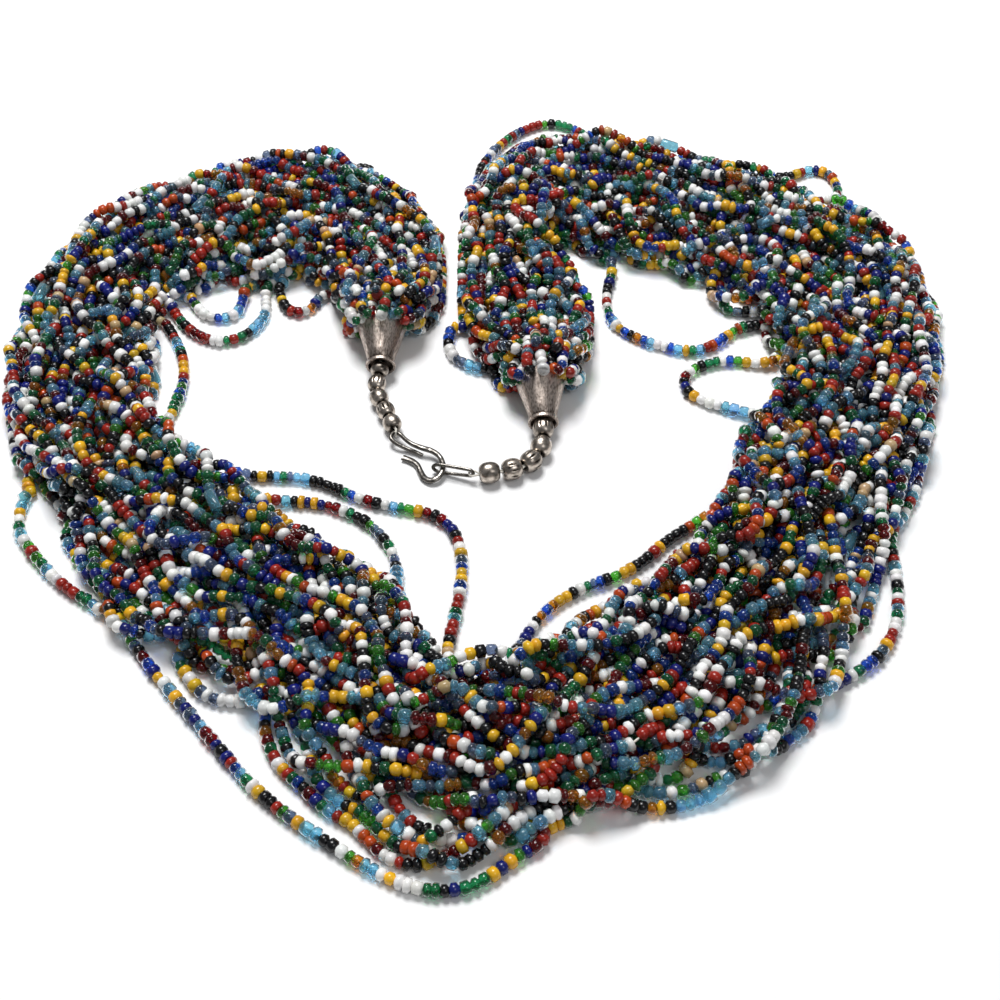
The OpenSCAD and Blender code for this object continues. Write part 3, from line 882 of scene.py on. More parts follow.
def settled(x):
    """Runs the rounds, and returns where the points have come to rest."""
    count = np.arange(len(x))
    link = count[:-1][strand[1:] == strand[:-1]]
    rest = np.linalg.norm(x[link + 1] - x[link], axis=1)
    within = count[1:-1][(strand[1:-1] == strand[:-2]) & (strand[1:-1] == strand[2:])]
    home = x.copy()
    # a value in between counts as the nearer way of holding
    fixed = hold > (HELD + FIXED) / 2
    held = (hold > (LAID + HELD) / 2) & ~fixed
    middle, way = spread(cut_middle), spread(cut_way)
    room_out, room_in = spread(room[1]), spread(room[-1])
    inside = ~held & ~fixed & (row > ROWS_FREE) & (row < ROWS - ROWS_FREE)
    near_left = count[~fixed & (row < ROWS_AT_CONE)]
    near_right = count[~fixed & (row > ROWS - ROWS_AT_CONE)]
    # near the cones the strands are pulled together more tightly
    radius = TIGHT + LOOSER * np.clip(np.minimum(row, ROWS - row) / ROWS_TO_LOOSER, 0, 1)
    for turn in range(ROUNDS):
        if turn % ROUNDS_PER_LOOK == 0:
            one, other = near_pairs(x, LOOK)
        x[:, 2] -= SINK * max(LAST_SINK, 1 - FADE * turn / ROUNDS)
        x[within] += EASING * ((x[within - 1] + x[within + 1]) / 2 - x[within])
        push_apart(x, one, other, radius)
        restore_lengths(x, link, rest)
        x[:, :2] += (home[:, :2] - x[:, :2]) * HOMING
        x[held] += (home[held] - x[held]) * HOLDING
        x[fixed] = home[fixed]
        off_the_cone(x, near_left, LEFT_MOUTH, LEFT_COLLAR)
        off_the_cone(x, near_right, RIGHT_MOUTH, RIGHT_COLLAR)
        x[:, 2] = np.maximum(x[:, 2], LOWEST)
        side = ((x[:, :2] - middle) * way).sum(1)
        past = np.maximum(side - room_out, 0) + np.minimum(side + room_in, 0)
        x[inside, :2] -= way[inside] * (past[inside] * EDGING)[:, None]
    return x


clock = time.time()
points = settled(points)
i, j = near_pairs(points, BEAD)
overlap = BEAD - np.linalg.norm(points[i] - points[j], axis=1)
print("settled in", round(time.time() - clock, 1), "s; pairs closer by over", DEEP, "mm:",
      (overlap > DEEP).sum(), "highest point, mm:", round(points[:, 2].max() + HALF, 1))

# %% [markdown]
# ## The beads
# Seed beads are cut from drawn glass tubes and tumbled hot, so each is a short tube with
# rounded ends, and no two are quite alike. Each kind could be a material and a mesh of its
# own, but a list is easier to change: it gives every kind's colour, share, size and lengths.

# %% Kinds of bead
def linear(*rgb):
    """A colour that was judged on a screen, as the light that it stands for."""
    return tuple(c / 12.92 if c <= 0.04045 else ((c + 0.055) / 1.055) ** 2.4 for c in rgb)


# name, colour on screen, share, clear, size, shortest and longest
BEAD_KINDS = [
    ("chalk white", (0.91, 0.91, 0.90), 15.5, 0, 1.00, (1.15, 1.95)),
    ("corn yellow", (0.85, 0.65, 0.12), 8, 0, 1.00, (1.15, 1.95)),
    ("brick red", (0.57, 0.12, 0.07), 9, 0, 1.00, (1.10, 1.90)),
    ("jet black", (0.02, 0.02, 0.03), 15, 0, 0.98, (1.10, 1.95)),
    ("cobalt blue", (0.04, 0.09, 0.41), 6.5, 0, 1.00, (1.10, 1.90)),
    ("clear blue", (0.14, 0.34, 0.76), 6, 1, 1.00, (1.15, 2.00)),
    ("sea aqua", (0.50, 0.76, 0.88), 11.5, 1, 1.04, (1.15, 2.20)),
    ("bottle green", (0.13, 0.52, 0.32), 9, 1, 1.00, (1.15, 2.00)),
    ("leaf green", (0.30, 0.66, 0.20), 4, 1, 1.00, (1.15, 2.00)),
    ("garnet", (0.50, 0.05, 0.06), 6, 1, 1.00, (1.15, 2.00)),
    ("amber", (0.78, 0.50, 0.10), 3, 1, 1.00, (1.15, 2.00)),
    ("smoke", (0.40, 0.48, 0.60), 5, 1, 1.00, (1.15, 2.00)),
    ("orange", (0.68, 0.25, 0.06), 2.5, 0, 1.00, (1.10, 1.90)),
    ("cream", (0.74, 0.62, 0.46), 0.8, 0, 1.00, (1.10, 1.90)),
    ("aqua tube", (0.50, 0.74, 0.82), 0.2, 1, 1.08, (3.8, 5.2)),
]
WHITE, LONG_TUBE, BARE_THREAD = 0, len(BEAD_KINDS) - 1, len(BEAD_KINDS)
THREAD_COLOUR = (0.7, 0.66, 0.58)
shares = np.array([kind[2] for kind in BEAD_KINDS])
shares = shares / shares.sum()
tints = np.array([linear(*kind[1]) for kind in BEAD_KINDS] + [THREAD_COLOUR])
print("kinds of bead:", len(BEAD_KINDS), "clear ones, %:",
      round(100 * sum(s for s, kind in zip(shares, BEAD_KINDS) if kind[3])))

# %% [markdown]
# ## Stringing
# The colours on the necklace follow no order that can be seen, as if the needle had picked
# the beads up from a mixed dish. A repeating pattern would show at once, so a seeded draw
# strings them. Now and then a kind repeats more than chance would have it, and here and
# there a little bare thread shows.

# %% A strand's beads
# how often a bead is simply of the kind before it
REPEATS = 0.11
# the first few kinds may stand in for a second long tube, and end a strand
PLAIN_KINDS = 5
# how often bare thread shows, how thick it is beside a bead, and how long, mm
BARE, THREAD_SHARE, THREAD_SHOWS = 1 / 800, 0.17, (1.0, 2.4)
# mm that the last two beads need, and what is kept of it for the last one
ROOM_FOR_TWO, SHORTEST_END = 2.6, 1.1
SIZE_SPREAD, SIZE_LIMITS = 0.08, (0.84, 1.15)


def string_beads(length):
    """Kinds, lengths and radii of the beads on a strand."""
    kinds, lengths, radii = [], [], []
    while length > ROOM_FOR_TWO:
        kind = kinds[-1] if kinds and rng.uniform() < REPEATS else rng.choice(len(shares), p=shares)
        if kind == BARE_THREAD or (kinds and kind == LONG_TUBE and kinds[-1] == kind):
            kind = rng.choice(PLAIN_KINDS)
        size, lengths_of_kind = BEAD_KINDS[kind][4:]
        if rng.uniform() < BARE:
            kind, size, lengths_of_kind = BARE_THREAD, THREAD_SHARE, THREAD_SHOWS
        kinds.append(kind)
        lengths.append(min(rng.uniform(*lengths_of_kind), length - SHORTEST_END))
        radii.append(HALF * size * np.clip(rng.normal(1, SIZE_SPREAD), *SIZE_LIMITS))
        length -= lengths[-1]
    kinds.append(rng.choice(PLAIN_KINDS))
    lengths.append(length)
    radii.append(HALF)
    return np.array(kinds), np.array(lengths), np.array(radii)


print("a bead's length, mm:", min(kind[5][0] for kind in BEAD_KINDS), "to", BEAD_KINDS[LONG_TUBE][5][1])

# %% [markdown]
# ## Bead glass
# Two glasses are mixed here. Most beads are opaque, bright all through and shiny. The rest
# are clear, with a deep colour. One material for each colour would do, but one material
# that reads its colour from the mesh lets every bead differ slightly. Real glass bends
# light strongly, and in a model such small beads then fill with white fringes from the
# table. A low index, with a coat on top for the shine, keeps their colour.

# %% Two glasses
def glass(name, clear):
    """Bead glass that takes its colour from the mesh, a little cloudy."""
    material, tree, shader = new_material(name)
    tint = add(tree, "ShaderNodeAttribute", _set={"attribute_name": "tint"})
    cloud = noise(tree, 900, 2)
    shade = add(tree, "ShaderNodeMapRange", Value=cloud, **{"To Min": 0.8, "To Max": 1.12})
    colour = add(tree, "ShaderNodeVectorMath", _set={"operation": "SCALE"}, _0=tint, Scale=shade)
    tree.links.new(colour, shader.inputs["Base Color"])
    shader.inputs["Roughness"].default_value = 0.2 if clear else 0.25
    shader.inputs["IOR"].default_value = 1.12 if clear else 1.5
    shader.inputs["Transmission Weight"].default_value = 0.8 if clear else 0.0
    shader.inputs["Coat Weight"].default_value = 0.7 if clear else 0.0
    shader.inputs["Coat Roughness"].default_value = 0.15
    return material


opaque_glass, clear_glass = glass("opaque_glass", 0), glass("clear_glass", 1)
print("glasses:", opaque_glass.name, clear_glass.name)

# %% [markdown]
# ## Waxed thread
# The beads are strung on plain white thread, which is waxed so that it doesn't fray. Its
# fibres are too fine to model. Fine noise between two off-whites, with no shine, is enough.

# %% Thread
def cotton():
    material, tree, shader = new_material("waxed_thread")
    fibre = noise(tree, 3000, 3)
    tree.links.new(ramp(tree, fibre, (0.3, (0.62, 0.58, 0.50)), (0.7, (0.80, 0.77, 0.70))),
                   shader.inputs["Base Color"])
    shader.inputs["Roughness"].default_value = 0.8
    return material


thread_cotton = cotton()
# the material of each kind of bead, as its place in the list of materials, and the thread's
strand_materials = [opaque_glass, clear_glass, thread_cotton]
material_of = np.array([kind[3] for kind in BEAD_KINDS] + [2])
print("thread:", thread_cotton.name)

# %% [markdown]
# ## One skin for a strand of beads
# Fifteen thousand separate beads would be slow to handle. Each strand is made as one skin
# instead: a narrow ring where two beads meet, a full ring at each bead's two shoulders,
# and a narrow ring again. Every bead also tilts a little on its thread.

# %% A strand's rings
SIDES = 8
RINGS_PER_BEAD = 3
# a narrow ring, beside the smaller of the two beads that meet in it
NECK = 0.55
# how much beads tilt, and how far they lie off the thread, mm
TILT, OFF_CENTRE = 0.07, 0.04
# the share of a bead's length that is rounded at an end, and the most of it, mm
ROUNDING, MOST_ROUNDING = (0.14, 0.34), 0.4
# mm before and after a place between which the thread's direction is taken
LOOK_ALONG = 0.5


def circles(spot, way, size):
    """A ring of points round each spot, square to its way."""
    side = np.cross(way, (0, 0, 1))
    side /= np.linalg.norm(side, axis=1)[:, None]
    up = np.cross(side, way)
    turn = 2 * math.pi * (np.arange(SIDES) + 0.5) / SIDES
    round_it = np.cos(turn)[:, None] * side[:, None] + np.sin(turn)[:, None] * up[:, None]
    return spot[:, None] + size[:, None, None] * round_it


def rings_of(line, kinds, lengths, radii):
    """Rings of points round a strand, three for each bead and one more."""
    run = run_along(line)
    ends = np.minimum(np.r_[0, np.cumsum(lengths)], run[-1])

    def at(places):
        return np.column_stack([np.interp(places, run, column) for column in line.T])

    def along(places):
        way = at(np.minimum(places + LOOK_ALONG, run[-1])) - at(np.maximum(places - LOOK_ALONG, 0))
        return way / np.linalg.norm(way, axis=1)[:, None]

    middles = (ends[:-1] + ends[1:]) / 2
    tilt = along(middles) + rng.normal(0, TILT, (len(kinds), 3))
    tilt /= np.linalg.norm(tilt, axis=1)[:, None]
    rounding = np.minimum(rng.uniform(*ROUNDING, len(kinds)) * lengths, MOST_ROUNDING)
    centre = at(middles) + rng.normal(0, OFF_CENTRE, (len(kinds), 3))
    shoulder = tilt * (lengths / 2 - rounding)[:, None]
    neck = NECK * np.minimum(np.r_[radii[:1], radii], np.r_[radii, radii[-1:]])
    count = RINGS_PER_BEAD * len(kinds) + 1
    spot, way, size = np.empty((count, 3)), np.empty((count, 3)), np.empty(count)
    spot[0::3], way[0::3], size[0::3] = at(ends), along(ends), neck
    spot[1::3], way[1::3], size[1::3] = centre - shoulder, tilt, radii
    spot[2::3], way[2::3], size[2::3] = centre + shoulder, tilt, radii
    rings = circles(spot, way, size)
    # no bead dips into the table
    rings[..., 2] = np.maximum(rings[..., 2], 0)
    return rings


print("points for each bead:", RINGS_PER_BEAD * SIDES)

# %% [markdown]
# ## A strand with its colours
# Glass of one kind still differs from rod to rod. A noise in the material would run across
# several beads, so each bead gets a brightness and a hue of its own here. White shows a
# change of hue most, and gets the least of it.

# %% Stringing one strand
POINTS_PER_STEP = 3
HUE_SPREAD, HUE_LIMITS = 0.05, (-0.15, 0.15)
TONE_SPREAD, TONE_LIMITS = 0.1, (0.75, 1.25)
WHITE_HUE = 0.2


def strung(k):
    """The rings of a strand, and the kind and colour of each bead on it."""
    line = curve_through(points[strand == k], POINTS_PER_STEP)
    kinds, lengths, radii = string_beads(run_along(line)[-1])
    rings = rings_of(line, kinds, lengths, radii)
    hue = rng.normal(0, HUE_SPREAD, (len(kinds), 3)).clip(*HUE_LIMITS)
    hue[kinds == WHITE] *= WHITE_HUE
    tone = rng.normal(1, TONE_SPREAD, (len(kinds), 1)).clip(*TONE_LIMITS)
    return rings, kinds, tints[kinds] * tone * (1 + hue)


print("a bead's brightness, beside its kind's, is between:", TONE_LIMITS)

# %% [markdown]
# ## Faces for a whole piece
# Blender's from_pydata would take these faces as a list, but a hundred thousand of them go
# faster as arrays. The strands of a piece are laid end to end in them, and every face
# counts its points from where its strand begins.

# %% Faces as arrays
FACES_PER_BEAD = RINGS_PER_BEAD * SIDES


def strand_faces(rings, first):
    """Quads between the rings and a cap at each end, as loops of point numbers."""
    ring = np.arange(rings - 1)[:, None] * SIDES
    k = np.arange(SIDES)[None]
    m = (k + 1) % SIDES
    quads = np.stack([ring + k, ring + m, ring + SIDES + m, ring + SIDES + k], -1)
    caps = np.array([np.arange(SIDES)[::-1], (rings - 1) * SIDES + np.arange(SIDES)])
    return quads.reshape(-1, 4) + first, caps + first


def laid_together(all_rings):
    """Points and faces of several strands, and for each point its narrow ring or -1."""
    corners, quads, caps, narrow = [], [], [], []
    first = 0
    for rings in all_rings:
        four, eight = strand_faces(len(rings), first)
        quads.append(four)
        caps.append(eight)
        number = np.arange(len(rings))
        narrow.append(np.repeat(np.where(number % RINGS_PER_BEAD == 0, number + first, -1), SIDES))
        corners.append(rings.reshape(-1, 3))
        first += len(corners[-1])
    return np.vstack(corners), np.vstack(quads), np.vstack(caps), np.concatenate(narrow)


def mesh_from(name, corners, quads, caps):
    """A mesh in metres from points in mm, quads and end caps."""
    mesh = bpy.data.meshes.new(name)
    mesh.vertices.add(len(corners))
    mesh.vertices.foreach_set("co", (corners * MM).ravel())
    mesh.loops.add(quads.size + caps.size)
    mesh.loops.foreach_set("vertex_index", np.r_[quads.ravel(), caps.ravel()])
    mesh.polygons.add(len(quads) + len(caps))
    starts = np.r_[np.arange(len(quads)) * 4, quads.size + np.arange(len(caps)) * SIDES]
    mesh.polygons.foreach_set("loop_start", starts)
    return mesh


print("faces for each bead:", FACES_PER_BEAD)

# %% [markdown]
# ## A map of beads
# A viewer that knows no nodes needs the colours baked on a picture, and that needs a map.
# Smart UV Project would cut so many small faces badly. Here every bead gets one small
# square of its own, with a margin, and all the end caps share one more.

# %% Map
MARGIN = 0.06
USED = 1 - 2 * MARGIN
# an end cap's radius, as a share of its square
CAP_SIZE = 0.3


def lay_out_map(mesh, beads, caps):
    """Gives each bead a square of the map, with its three bands of faces one over another."""
    cells = math.ceil(math.sqrt(beads + 1))
    cell = np.repeat(np.arange(beads), FACES_PER_BEAD)
    part = np.tile(np.arange(FACES_PER_BEAD), beads)
    left = (cell % cells + MARGIN + USED * (part % SIDES) / SIDES) / cells
    low = (cell // cells + MARGIN + USED * (part // SIDES) / RINGS_PER_BEAD) / cells
    wide, high = USED / SIDES / cells, USED / RINGS_PER_BEAD / cells
    u = left[:, None] + np.array([0, 1, 1, 0]) * wide
    v = low[:, None] + np.array([0, 0, 1, 1]) * high
    turn = 2 * math.pi * np.arange(SIDES) / SIDES
    cap_u = np.tile((cells - 0.5 + CAP_SIZE * np.cos(turn)) / cells, caps)
    cap_v = np.tile((cells - 0.5 + CAP_SIZE * np.sin(turn)) / cells, caps)
    flat = np.column_stack([np.r_[u.ravel(), cap_u], np.r_[v.ravel(), cap_v]])
    mesh.uv_layers.new(name="OFBake").data.foreach_set("uv", flat.ravel())


print("share of a bead's square that is used:", round(USED * USED, 2))

# %% [markdown]
# ## Round beads, sharp joints
# Smooth shading alone would melt the beads of a strand into one lumpy rod. An edge split
# would add points. It is enough to mark the edges of the narrow rings sharp: each bead is
# then shaded as one rounded piece, and the line between two beads stays crisp.

# %% Sharp joints
def mark_joints(mesh, narrow):
    """Marks the edges that run round a narrow ring sharp."""
    ends_of = np.empty(len(mesh.edges) * 2, int)
    mesh.edges.foreach_get("vertices", ends_of)
    ends_of = narrow[ends_of.reshape(-1, 2)]
    sharp = (ends_of[:, 0] >= 0) & (ends_of[:, 0] == ends_of[:, 1])
    mesh.attributes.new("sharp_edge", "BOOLEAN", "EDGE").data.foreach_set("value", sharp)
    return int(sharp.sum())


print("sharp edges between two beads:", SIDES)

# %% [markdown]
# ## Strands of beads as pieces
# One mesh with every strand would be too heavy for some viewers, and 36 would be many to
# handle. The strands are shared out among eight pieces. Each one stands for the bundle, and
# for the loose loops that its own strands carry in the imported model.

# %% Eight pieces
PIECES = 8
beads_made = 0
joints_made = 0
for piece in range(PIECES):
    mine = range(piece * STRANDS // PIECES, (piece + 1) * STRANDS // PIECES)
    all_rings, all_kinds, all_tints = zip(*[strung(k) for k in mine])
    corners, quads, caps, narrow = laid_together(all_rings)
    bead_kinds, bead_tints = np.concatenate(all_kinds), np.vstack(all_tints).clip(0, 1)

    mesh = mesh_from(f"seed_strands_{piece + 1}", corners, quads, caps)
    bead_faces = np.repeat(material_of[bead_kinds], FACES_PER_BEAD)
    mesh.polygons.foreach_set("material_index", np.r_[bead_faces, np.zeros(len(caps), int)])
    mesh.update(calc_edges=True)
    colour = np.ones((len(mesh.polygons), 4))
    colour[:len(quads), :3] = np.repeat(bead_tints, FACES_PER_BEAD, axis=0)
    mesh.attributes.new("tint", "FLOAT_COLOR", "FACE").data.foreach_set("color", colour.ravel())
    lay_out_map(mesh, len(bead_kinds), len(caps))
    mesh.shade_smooth()
    joints_made += mark_joints(mesh, narrow)

    strands_piece = bpy.data.objects.new(mesh.name, mesh)
    for material in strand_materials:
        mesh.materials.append(material)
    bpy.context.scene.collection.objects.link(strands_piece)
    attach(strands_piece, "root")
    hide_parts("strand_bundle",
                *[f"loose_strand_{n}" for n, k in carries.items() if k in mine])
    beads_made += len(bead_kinds)
print("beads:", beads_made, "triangles:", beads_made * 2 * FACES_PER_BEAD, "sharp edges:", joints_made)

# %% [markdown]
# ## Oxidised silver
# The cones, beads and clasp are one metal in several finishes: silver darkened with
# sulphur and rubbed back, so that hollows stay brown and edges shine. Dirt in hollows
# could come from an ambient occlusion node, but that is slow and doesn't bake well. Each
# mesh carries its own measure of how hollow it is, and the shader darkens by it. Noise
# that is drawn out along the cones gives them the fine lines of an abrasive.

# %% Silver
def stains(tree, place, marks, cloudy):
    """The metal's scratches, and how dirty it is from its hollows, patches and scratches."""
    hollow = add(tree, "ShaderNodeAttribute", _out="Fac", _set={"attribute_name": "hollow"})
    amount = add(tree, "ShaderNodeMapRange", Value=noise(tree, 260, 4, place),
                 **{"From Min": 0.42, "From Max": 0.72, "To Min": 0.0, "To Max": cloudy})
    scratches = noise(tree, marks, 6, place)
    streaks = add(tree, "ShaderNodeMapRange", Value=scratches,
                  **{"From Min": 0.4, "From Max": 0.66, "To Min": -0.1, "To Max": 0.6})
    stained = add(tree, "ShaderNodeMath", _set={"operation": "ADD"}, _0=amount, _1=streaks)
    dirty = add(tree, "ShaderNodeMath", _set={"operation": "ADD", "use_clamp": True},
                _0=hollow, _1=stained)
    return scratches, dirty


def silver(name, bright, dark, rough, marks, dents=0.0, brushed=1.0, cloudy=0.5):
    """Silver with tarnish in its hollows, cloudy patches, and scratches or hammer marks."""
    material, tree, shader = new_material(name)
    place = object_place(tree)
    drawn_out = add(tree, "ShaderNodeVectorMath", _set={"operation": "MULTIPLY"}, _0=place,
                    _1=(1, brushed, 1))
    scratches, dirty = stains(tree, drawn_out, marks, cloudy)
    between = tuple((a + b) / 2 for a, b in zip(bright, dark))
    tree.links.new(ramp(tree, dirty, (0.0, bright), (0.45, between), (1.0, dark)),
                   shader.inputs["Base Color"])
    shader.inputs["Metallic"].default_value = 1.0
    gloss = add(tree, "ShaderNodeMapRange", Value=scratches,
                **{"To Min": rough - 0.08, "To Max": rough + 0.14})
    tree.links.new(gloss, shader.inputs["Roughness"])
    hammered = add(tree, "ShaderNodeTexVoronoi", Vector=place, Scale=900.0)
    mixed = add(tree, "ShaderNodeMath", _set={"operation": "MULTIPLY_ADD"},
                _0=hammered, _1=dents, _2=scratches)
    bump = add(tree, "ShaderNodeBump", Height=mixed, Strength=0.16, Distance=0.0003)
    tree.links.new(bump, shader.inputs["Normal"])
    return material


cone_silver = silver("cone_silver", (0.66, 0.56, 0.49), (0.08, 0.06, 0.048), 0.36, 3200,
                     brushed=0.03, cloudy=0.12)
bead_silver = silver("bead_silver", (0.60, 0.53, 0.46), (0.04, 0.032, 0.025), 0.28, 900)
wire_silver = silver("wire_silver", (0.24, 0.225, 0.205), (0.04, 0.035, 0.03), 0.27, 900,
                     dents=1.2)
print("silver finishes:", cone_silver.name, bead_silver.name, wire_silver.name)

# %% [markdown]
# ## Skins from rings
# Cones, silver beads and wire are all rings of points joined by faces. Blender's screw and
# curve tools make such shapes as well, but one helper that takes the rings as an array
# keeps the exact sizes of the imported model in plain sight.

# %% A helper for turned and drawn metal
SHARP_FROM = 28


def metal_piece(name, rings, hollow, material, node, closed):
    """Joins rings of points, in mm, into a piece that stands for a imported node."""
    count, sides = rings.shape[:2]
    faces = []
    for r in range(count if closed else count - 1):
        for k in range(sides):
            a, b = r * sides, (r + 1) % count * sides
            faces.append((a + k, a + (k + 1) % sides, b + (k + 1) % sides, b + k))
    if not closed:
        faces.append(tuple(range(sides))[::-1])
        faces.append(tuple(range((count - 1) * sides, count * sides)))
    mesh = bpy.data.meshes.new(name)
    mesh.from_pydata((rings.reshape(-1, 3) * MM).tolist(), [], faces)
    low, high = rings.reshape(-1, 3).min(0), rings.reshape(-1, 3).max(0)
    mesh.attributes.new("hollow", "FLOAT", "POINT").data.foreach_set("value", hollow.ravel())
    mesh.shade_smooth()
    mesh.set_sharp_from_angle(angle=math.radians(SHARP_FROM))
    mesh.materials.append(material)
    piece = bpy.data.objects.new(name, mesh)
    bpy.context.scene.collection.objects.link(piece)
    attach(piece, "root")
    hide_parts(node)
    print(name, "mm:", (high - low).round(1), "faces:", len(faces))
    return piece


print("edges are sharp from, degrees:", SHARP_FROM)

# %% [markdown]
# ## The cones
# Each cone is sheet silver rolled round and soldered, with a flared collar at the narrow
# end. The screw modifier would turn a profile as well, but a plain turned cone would look
# machine made, so faint flats are left round it, as a mallet leaves them. The groove before
# the collar keeps its dark tarnish.

# %% A cone's profile
CONE_LENGTH = 10.5
COLLAR_R = 3.0
COLLAR_WIDTH = 0.9
SHEET = 0.45
BORE = 0.8
cup = CONE_LENGTH - COLLAR_WIDTH
groove_r = COLLAR_R - 0.45
# place along the cone, radius, hollow
CONE_PROFILE = [
    (0, CONE_MOUTH_R - 0.06, 0.1), (0.08, CONE_MOUTH_R, 0), (0.4, CONE_MOUTH_R, 0),
    (2.5, 4.49, 0.05), (5.0, 3.78, 0.1), (7.5, 3.08, 0.15), (cup - 0.5, groove_r + 0.2, 0.4),
    (cup - 0.2, groove_r, 0.6), (cup + 0.3, COLLAR_R, 0.6), (cup + 0.34, COLLAR_R, 0.25),
    (CONE_LENGTH - 0.05, COLLAR_R, 0),
    (CONE_LENGTH, COLLAR_R - 0.06, 0.2), (CONE_LENGTH, COLLAR_R - 0.5, 0.5),
    (cup, COLLAR_R - 0.6, 1), (cup, BORE, 1), (cup - 0.6, BORE, 1),
    (cup - 0.6, groove_r - SHEET, 1), (0, CONE_MOUTH_R - SHEET, 0.6),
]
print("points in the cone's profile:", len(CONE_PROFILE))

# %% [markdown]
# ## Turning the cones
# The profile is turned round the line from the middle of the mouth to the middle of the
# collar. The flats are a small wave in the radius. They belong on the outside of the sheet
# only, so the rim, the collar and the bore stay round.

# %% Two cones
CONE_SIDES = 84
FLATS, FLAT_DEPTH = 11, 0.012
# flats begin this far from the rim, end this far from the collar, and need this radius, mm
FROM_RIM, FROM_COLLAR, OUTSIDE_R = 0.2, 0.3, 2.7


def turned(start, end, profile, radii, sides):
    """Rings round the line from start to end; profile has their places along it."""
    way = unit(end - start)
    side = unit(np.cross(way, (0, 0, 1)))
    up = np.cross(side, way)
    turn = 2 * math.pi * np.arange(sides) / sides
    round_it = np.cos(turn)[:, None] * side + np.sin(turn)[:, None] * up
    centres = start + np.array(profile)[:, None] * way
    return centres[:, None] + radii[:, :, None] * round_it[None]


places, radii, hollows = np.array(CONE_PROFILE).T
angle = 2 * math.pi * np.arange(CONE_SIDES) / CONE_SIDES
flats = 1 - FLAT_DEPTH * np.abs(np.sin(FLATS / 2 * angle))
has_flats = (places > FROM_RIM) & (places < cup - FROM_COLLAR) & (radii > OUTSIDE_R)
body = radii[:, None] * np.where(has_flats[:, None], flats, 1)
for side, mouth, collar in (("left", LEFT_MOUTH, LEFT_COLLAR), ("right", RIGHT_MOUTH, RIGHT_COLLAR)):
    rings = turned(mouth, collar, places, body, CONE_SIDES)
    metal_piece(f"silver_cone_{side}", rings, np.tile(hollows[:, None], CONE_SIDES), cone_silver,
                f"end_cone_{side}", closed=True)

# %% [markdown]
# ## The silver beads
# Five beads on each side run from the cone to the clasp. Those on the hook's side are
# smaller. Some are fluted: short grooves are filed across them, which stay dark. The
# grooves could be cut with a boolean, but here each point's radius is worked out, because
# the line to the nearest groove's round wall has a simple length.

# %% A silver bead's skin
FLUTES = 10
FLUTE_R = 0.32
FLUTE_DEPTH = 0.14
BORE_R = 0.6
BEAD_SIDES = 120
BEAD_RINGS = 21
# how full the bead is towards its ends; 1 is a ball
FULLNESS = 0.6
STOP_GAP = 0.6
HOLE_RIM = 0.2
# how far dirt reaches out from the hole, over what length it fades, mm, and how dark it is
DIRT_REACH, DIRT_FADE, DIRT = 0.75, 0.5, 0.9


def cut_by_flutes(body, diameter):
    """Takes the flutes out of rings of radii."""
    step = 2 * math.pi / FLUTES
    off = (2 * math.pi * np.arange(BEAD_SIDES) / BEAD_SIDES + step / 2) % step - step / 2
    centre = diameter / 2 + FLUTE_R - FLUTE_DEPTH
    inside = np.maximum(FLUTE_R**2 - (centre * np.sin(off)) ** 2, 0)
    wall = np.where(inside > 0, centre * np.cos(off) - np.sqrt(inside), np.inf)
    return np.minimum(body, wall)


def silver_bead(name, start, end, diameter, fluted, node):
    """A drilled bead between two of the thread's stops, smooth or fluted."""
    start, end = np.array(start, float), np.array(end, float)
    length = np.linalg.norm(end - start) - STOP_GAP
    way = unit(end - start)
    begin = (start + end) / 2 - way * length / 2
    edge = math.acos((BORE_R + HOLE_RIM) / (diameter / 2))
    turns = np.linspace(-edge, edge, BEAD_RINGS)
    radii = np.r_[diameter / 2 * np.cos(turns) ** FULLNESS, BORE_R, BORE_R]
    places = np.r_[length / 2 * (1 + np.sin(turns) / math.sin(edge)), length, 0]
    body = np.tile(radii[:, None], BEAD_SIDES)
    if fluted:
        body = cut_by_flutes(body, diameter)
    in_flute = np.clip((radii[:, None] - body) / FLUTE_DEPTH, 0, 1)
    toward_hole = np.clip((DIRT_REACH - (radii - BORE_R)) / DIRT_FADE, 0, 1)
    hollow = np.maximum(in_flute, DIRT * toward_hole[:, None])
    rings = turned(begin, begin + way, places, body, BEAD_SIDES)
    return metal_piece(name, rings, hollow, bead_silver, node, closed=True)


print("flutes on a fluted bead:", FLUTES)

# %% [markdown]
# ## Two rows of silver beads
# The thread's stops are the points between which the beads sit, taken from the packed
# model. An array modifier would space the beads evenly along a curve, but the real ones
# lie as they fell, so each bead is made between two stops.

# %% Ten silver beads
LEFT_STOPS = [(-20.1, 15.1, 3.2), (-20.4, 12, 2.6), (-20.9, 8.1, 2.05), (-19.2, 4.6, 1.9),
              (-17.9, 0.9, 1.9), (-16.4, -2.5, 1.9)]
RIGHT_STOPS = [(12.4, -1.2, 3.2), (12.4, -5.5, 2.6), (11.5, -9.8, 2.2), (8.4, -12.9, 2.15),
               (4.2, -14.1, 2.15), (-0.2, -14.8, 2.15)]
HOOK_SIDE_BEAD, EYE_SIDE_BEAD = 3.7, 4.2
HOOK_SIDE_FLUTED, EYE_SIDE_FLUTED = (2, 4), (1, 3, 4)

for number in range(1, 6):
    silver_bead(f"hook_side_bead_{number}", LEFT_STOPS[number - 1], LEFT_STOPS[number],
                HOOK_SIDE_BEAD, number in HOOK_SIDE_FLUTED, f"silver_bead_left_{number}")
    silver_bead(f"eye_side_bead_{number}", RIGHT_STOPS[number - 1], RIGHT_STOPS[number],
                EYE_SIDE_BEAD, number in EYE_SIDE_FLUTED, f"silver_bead_right_{number}")

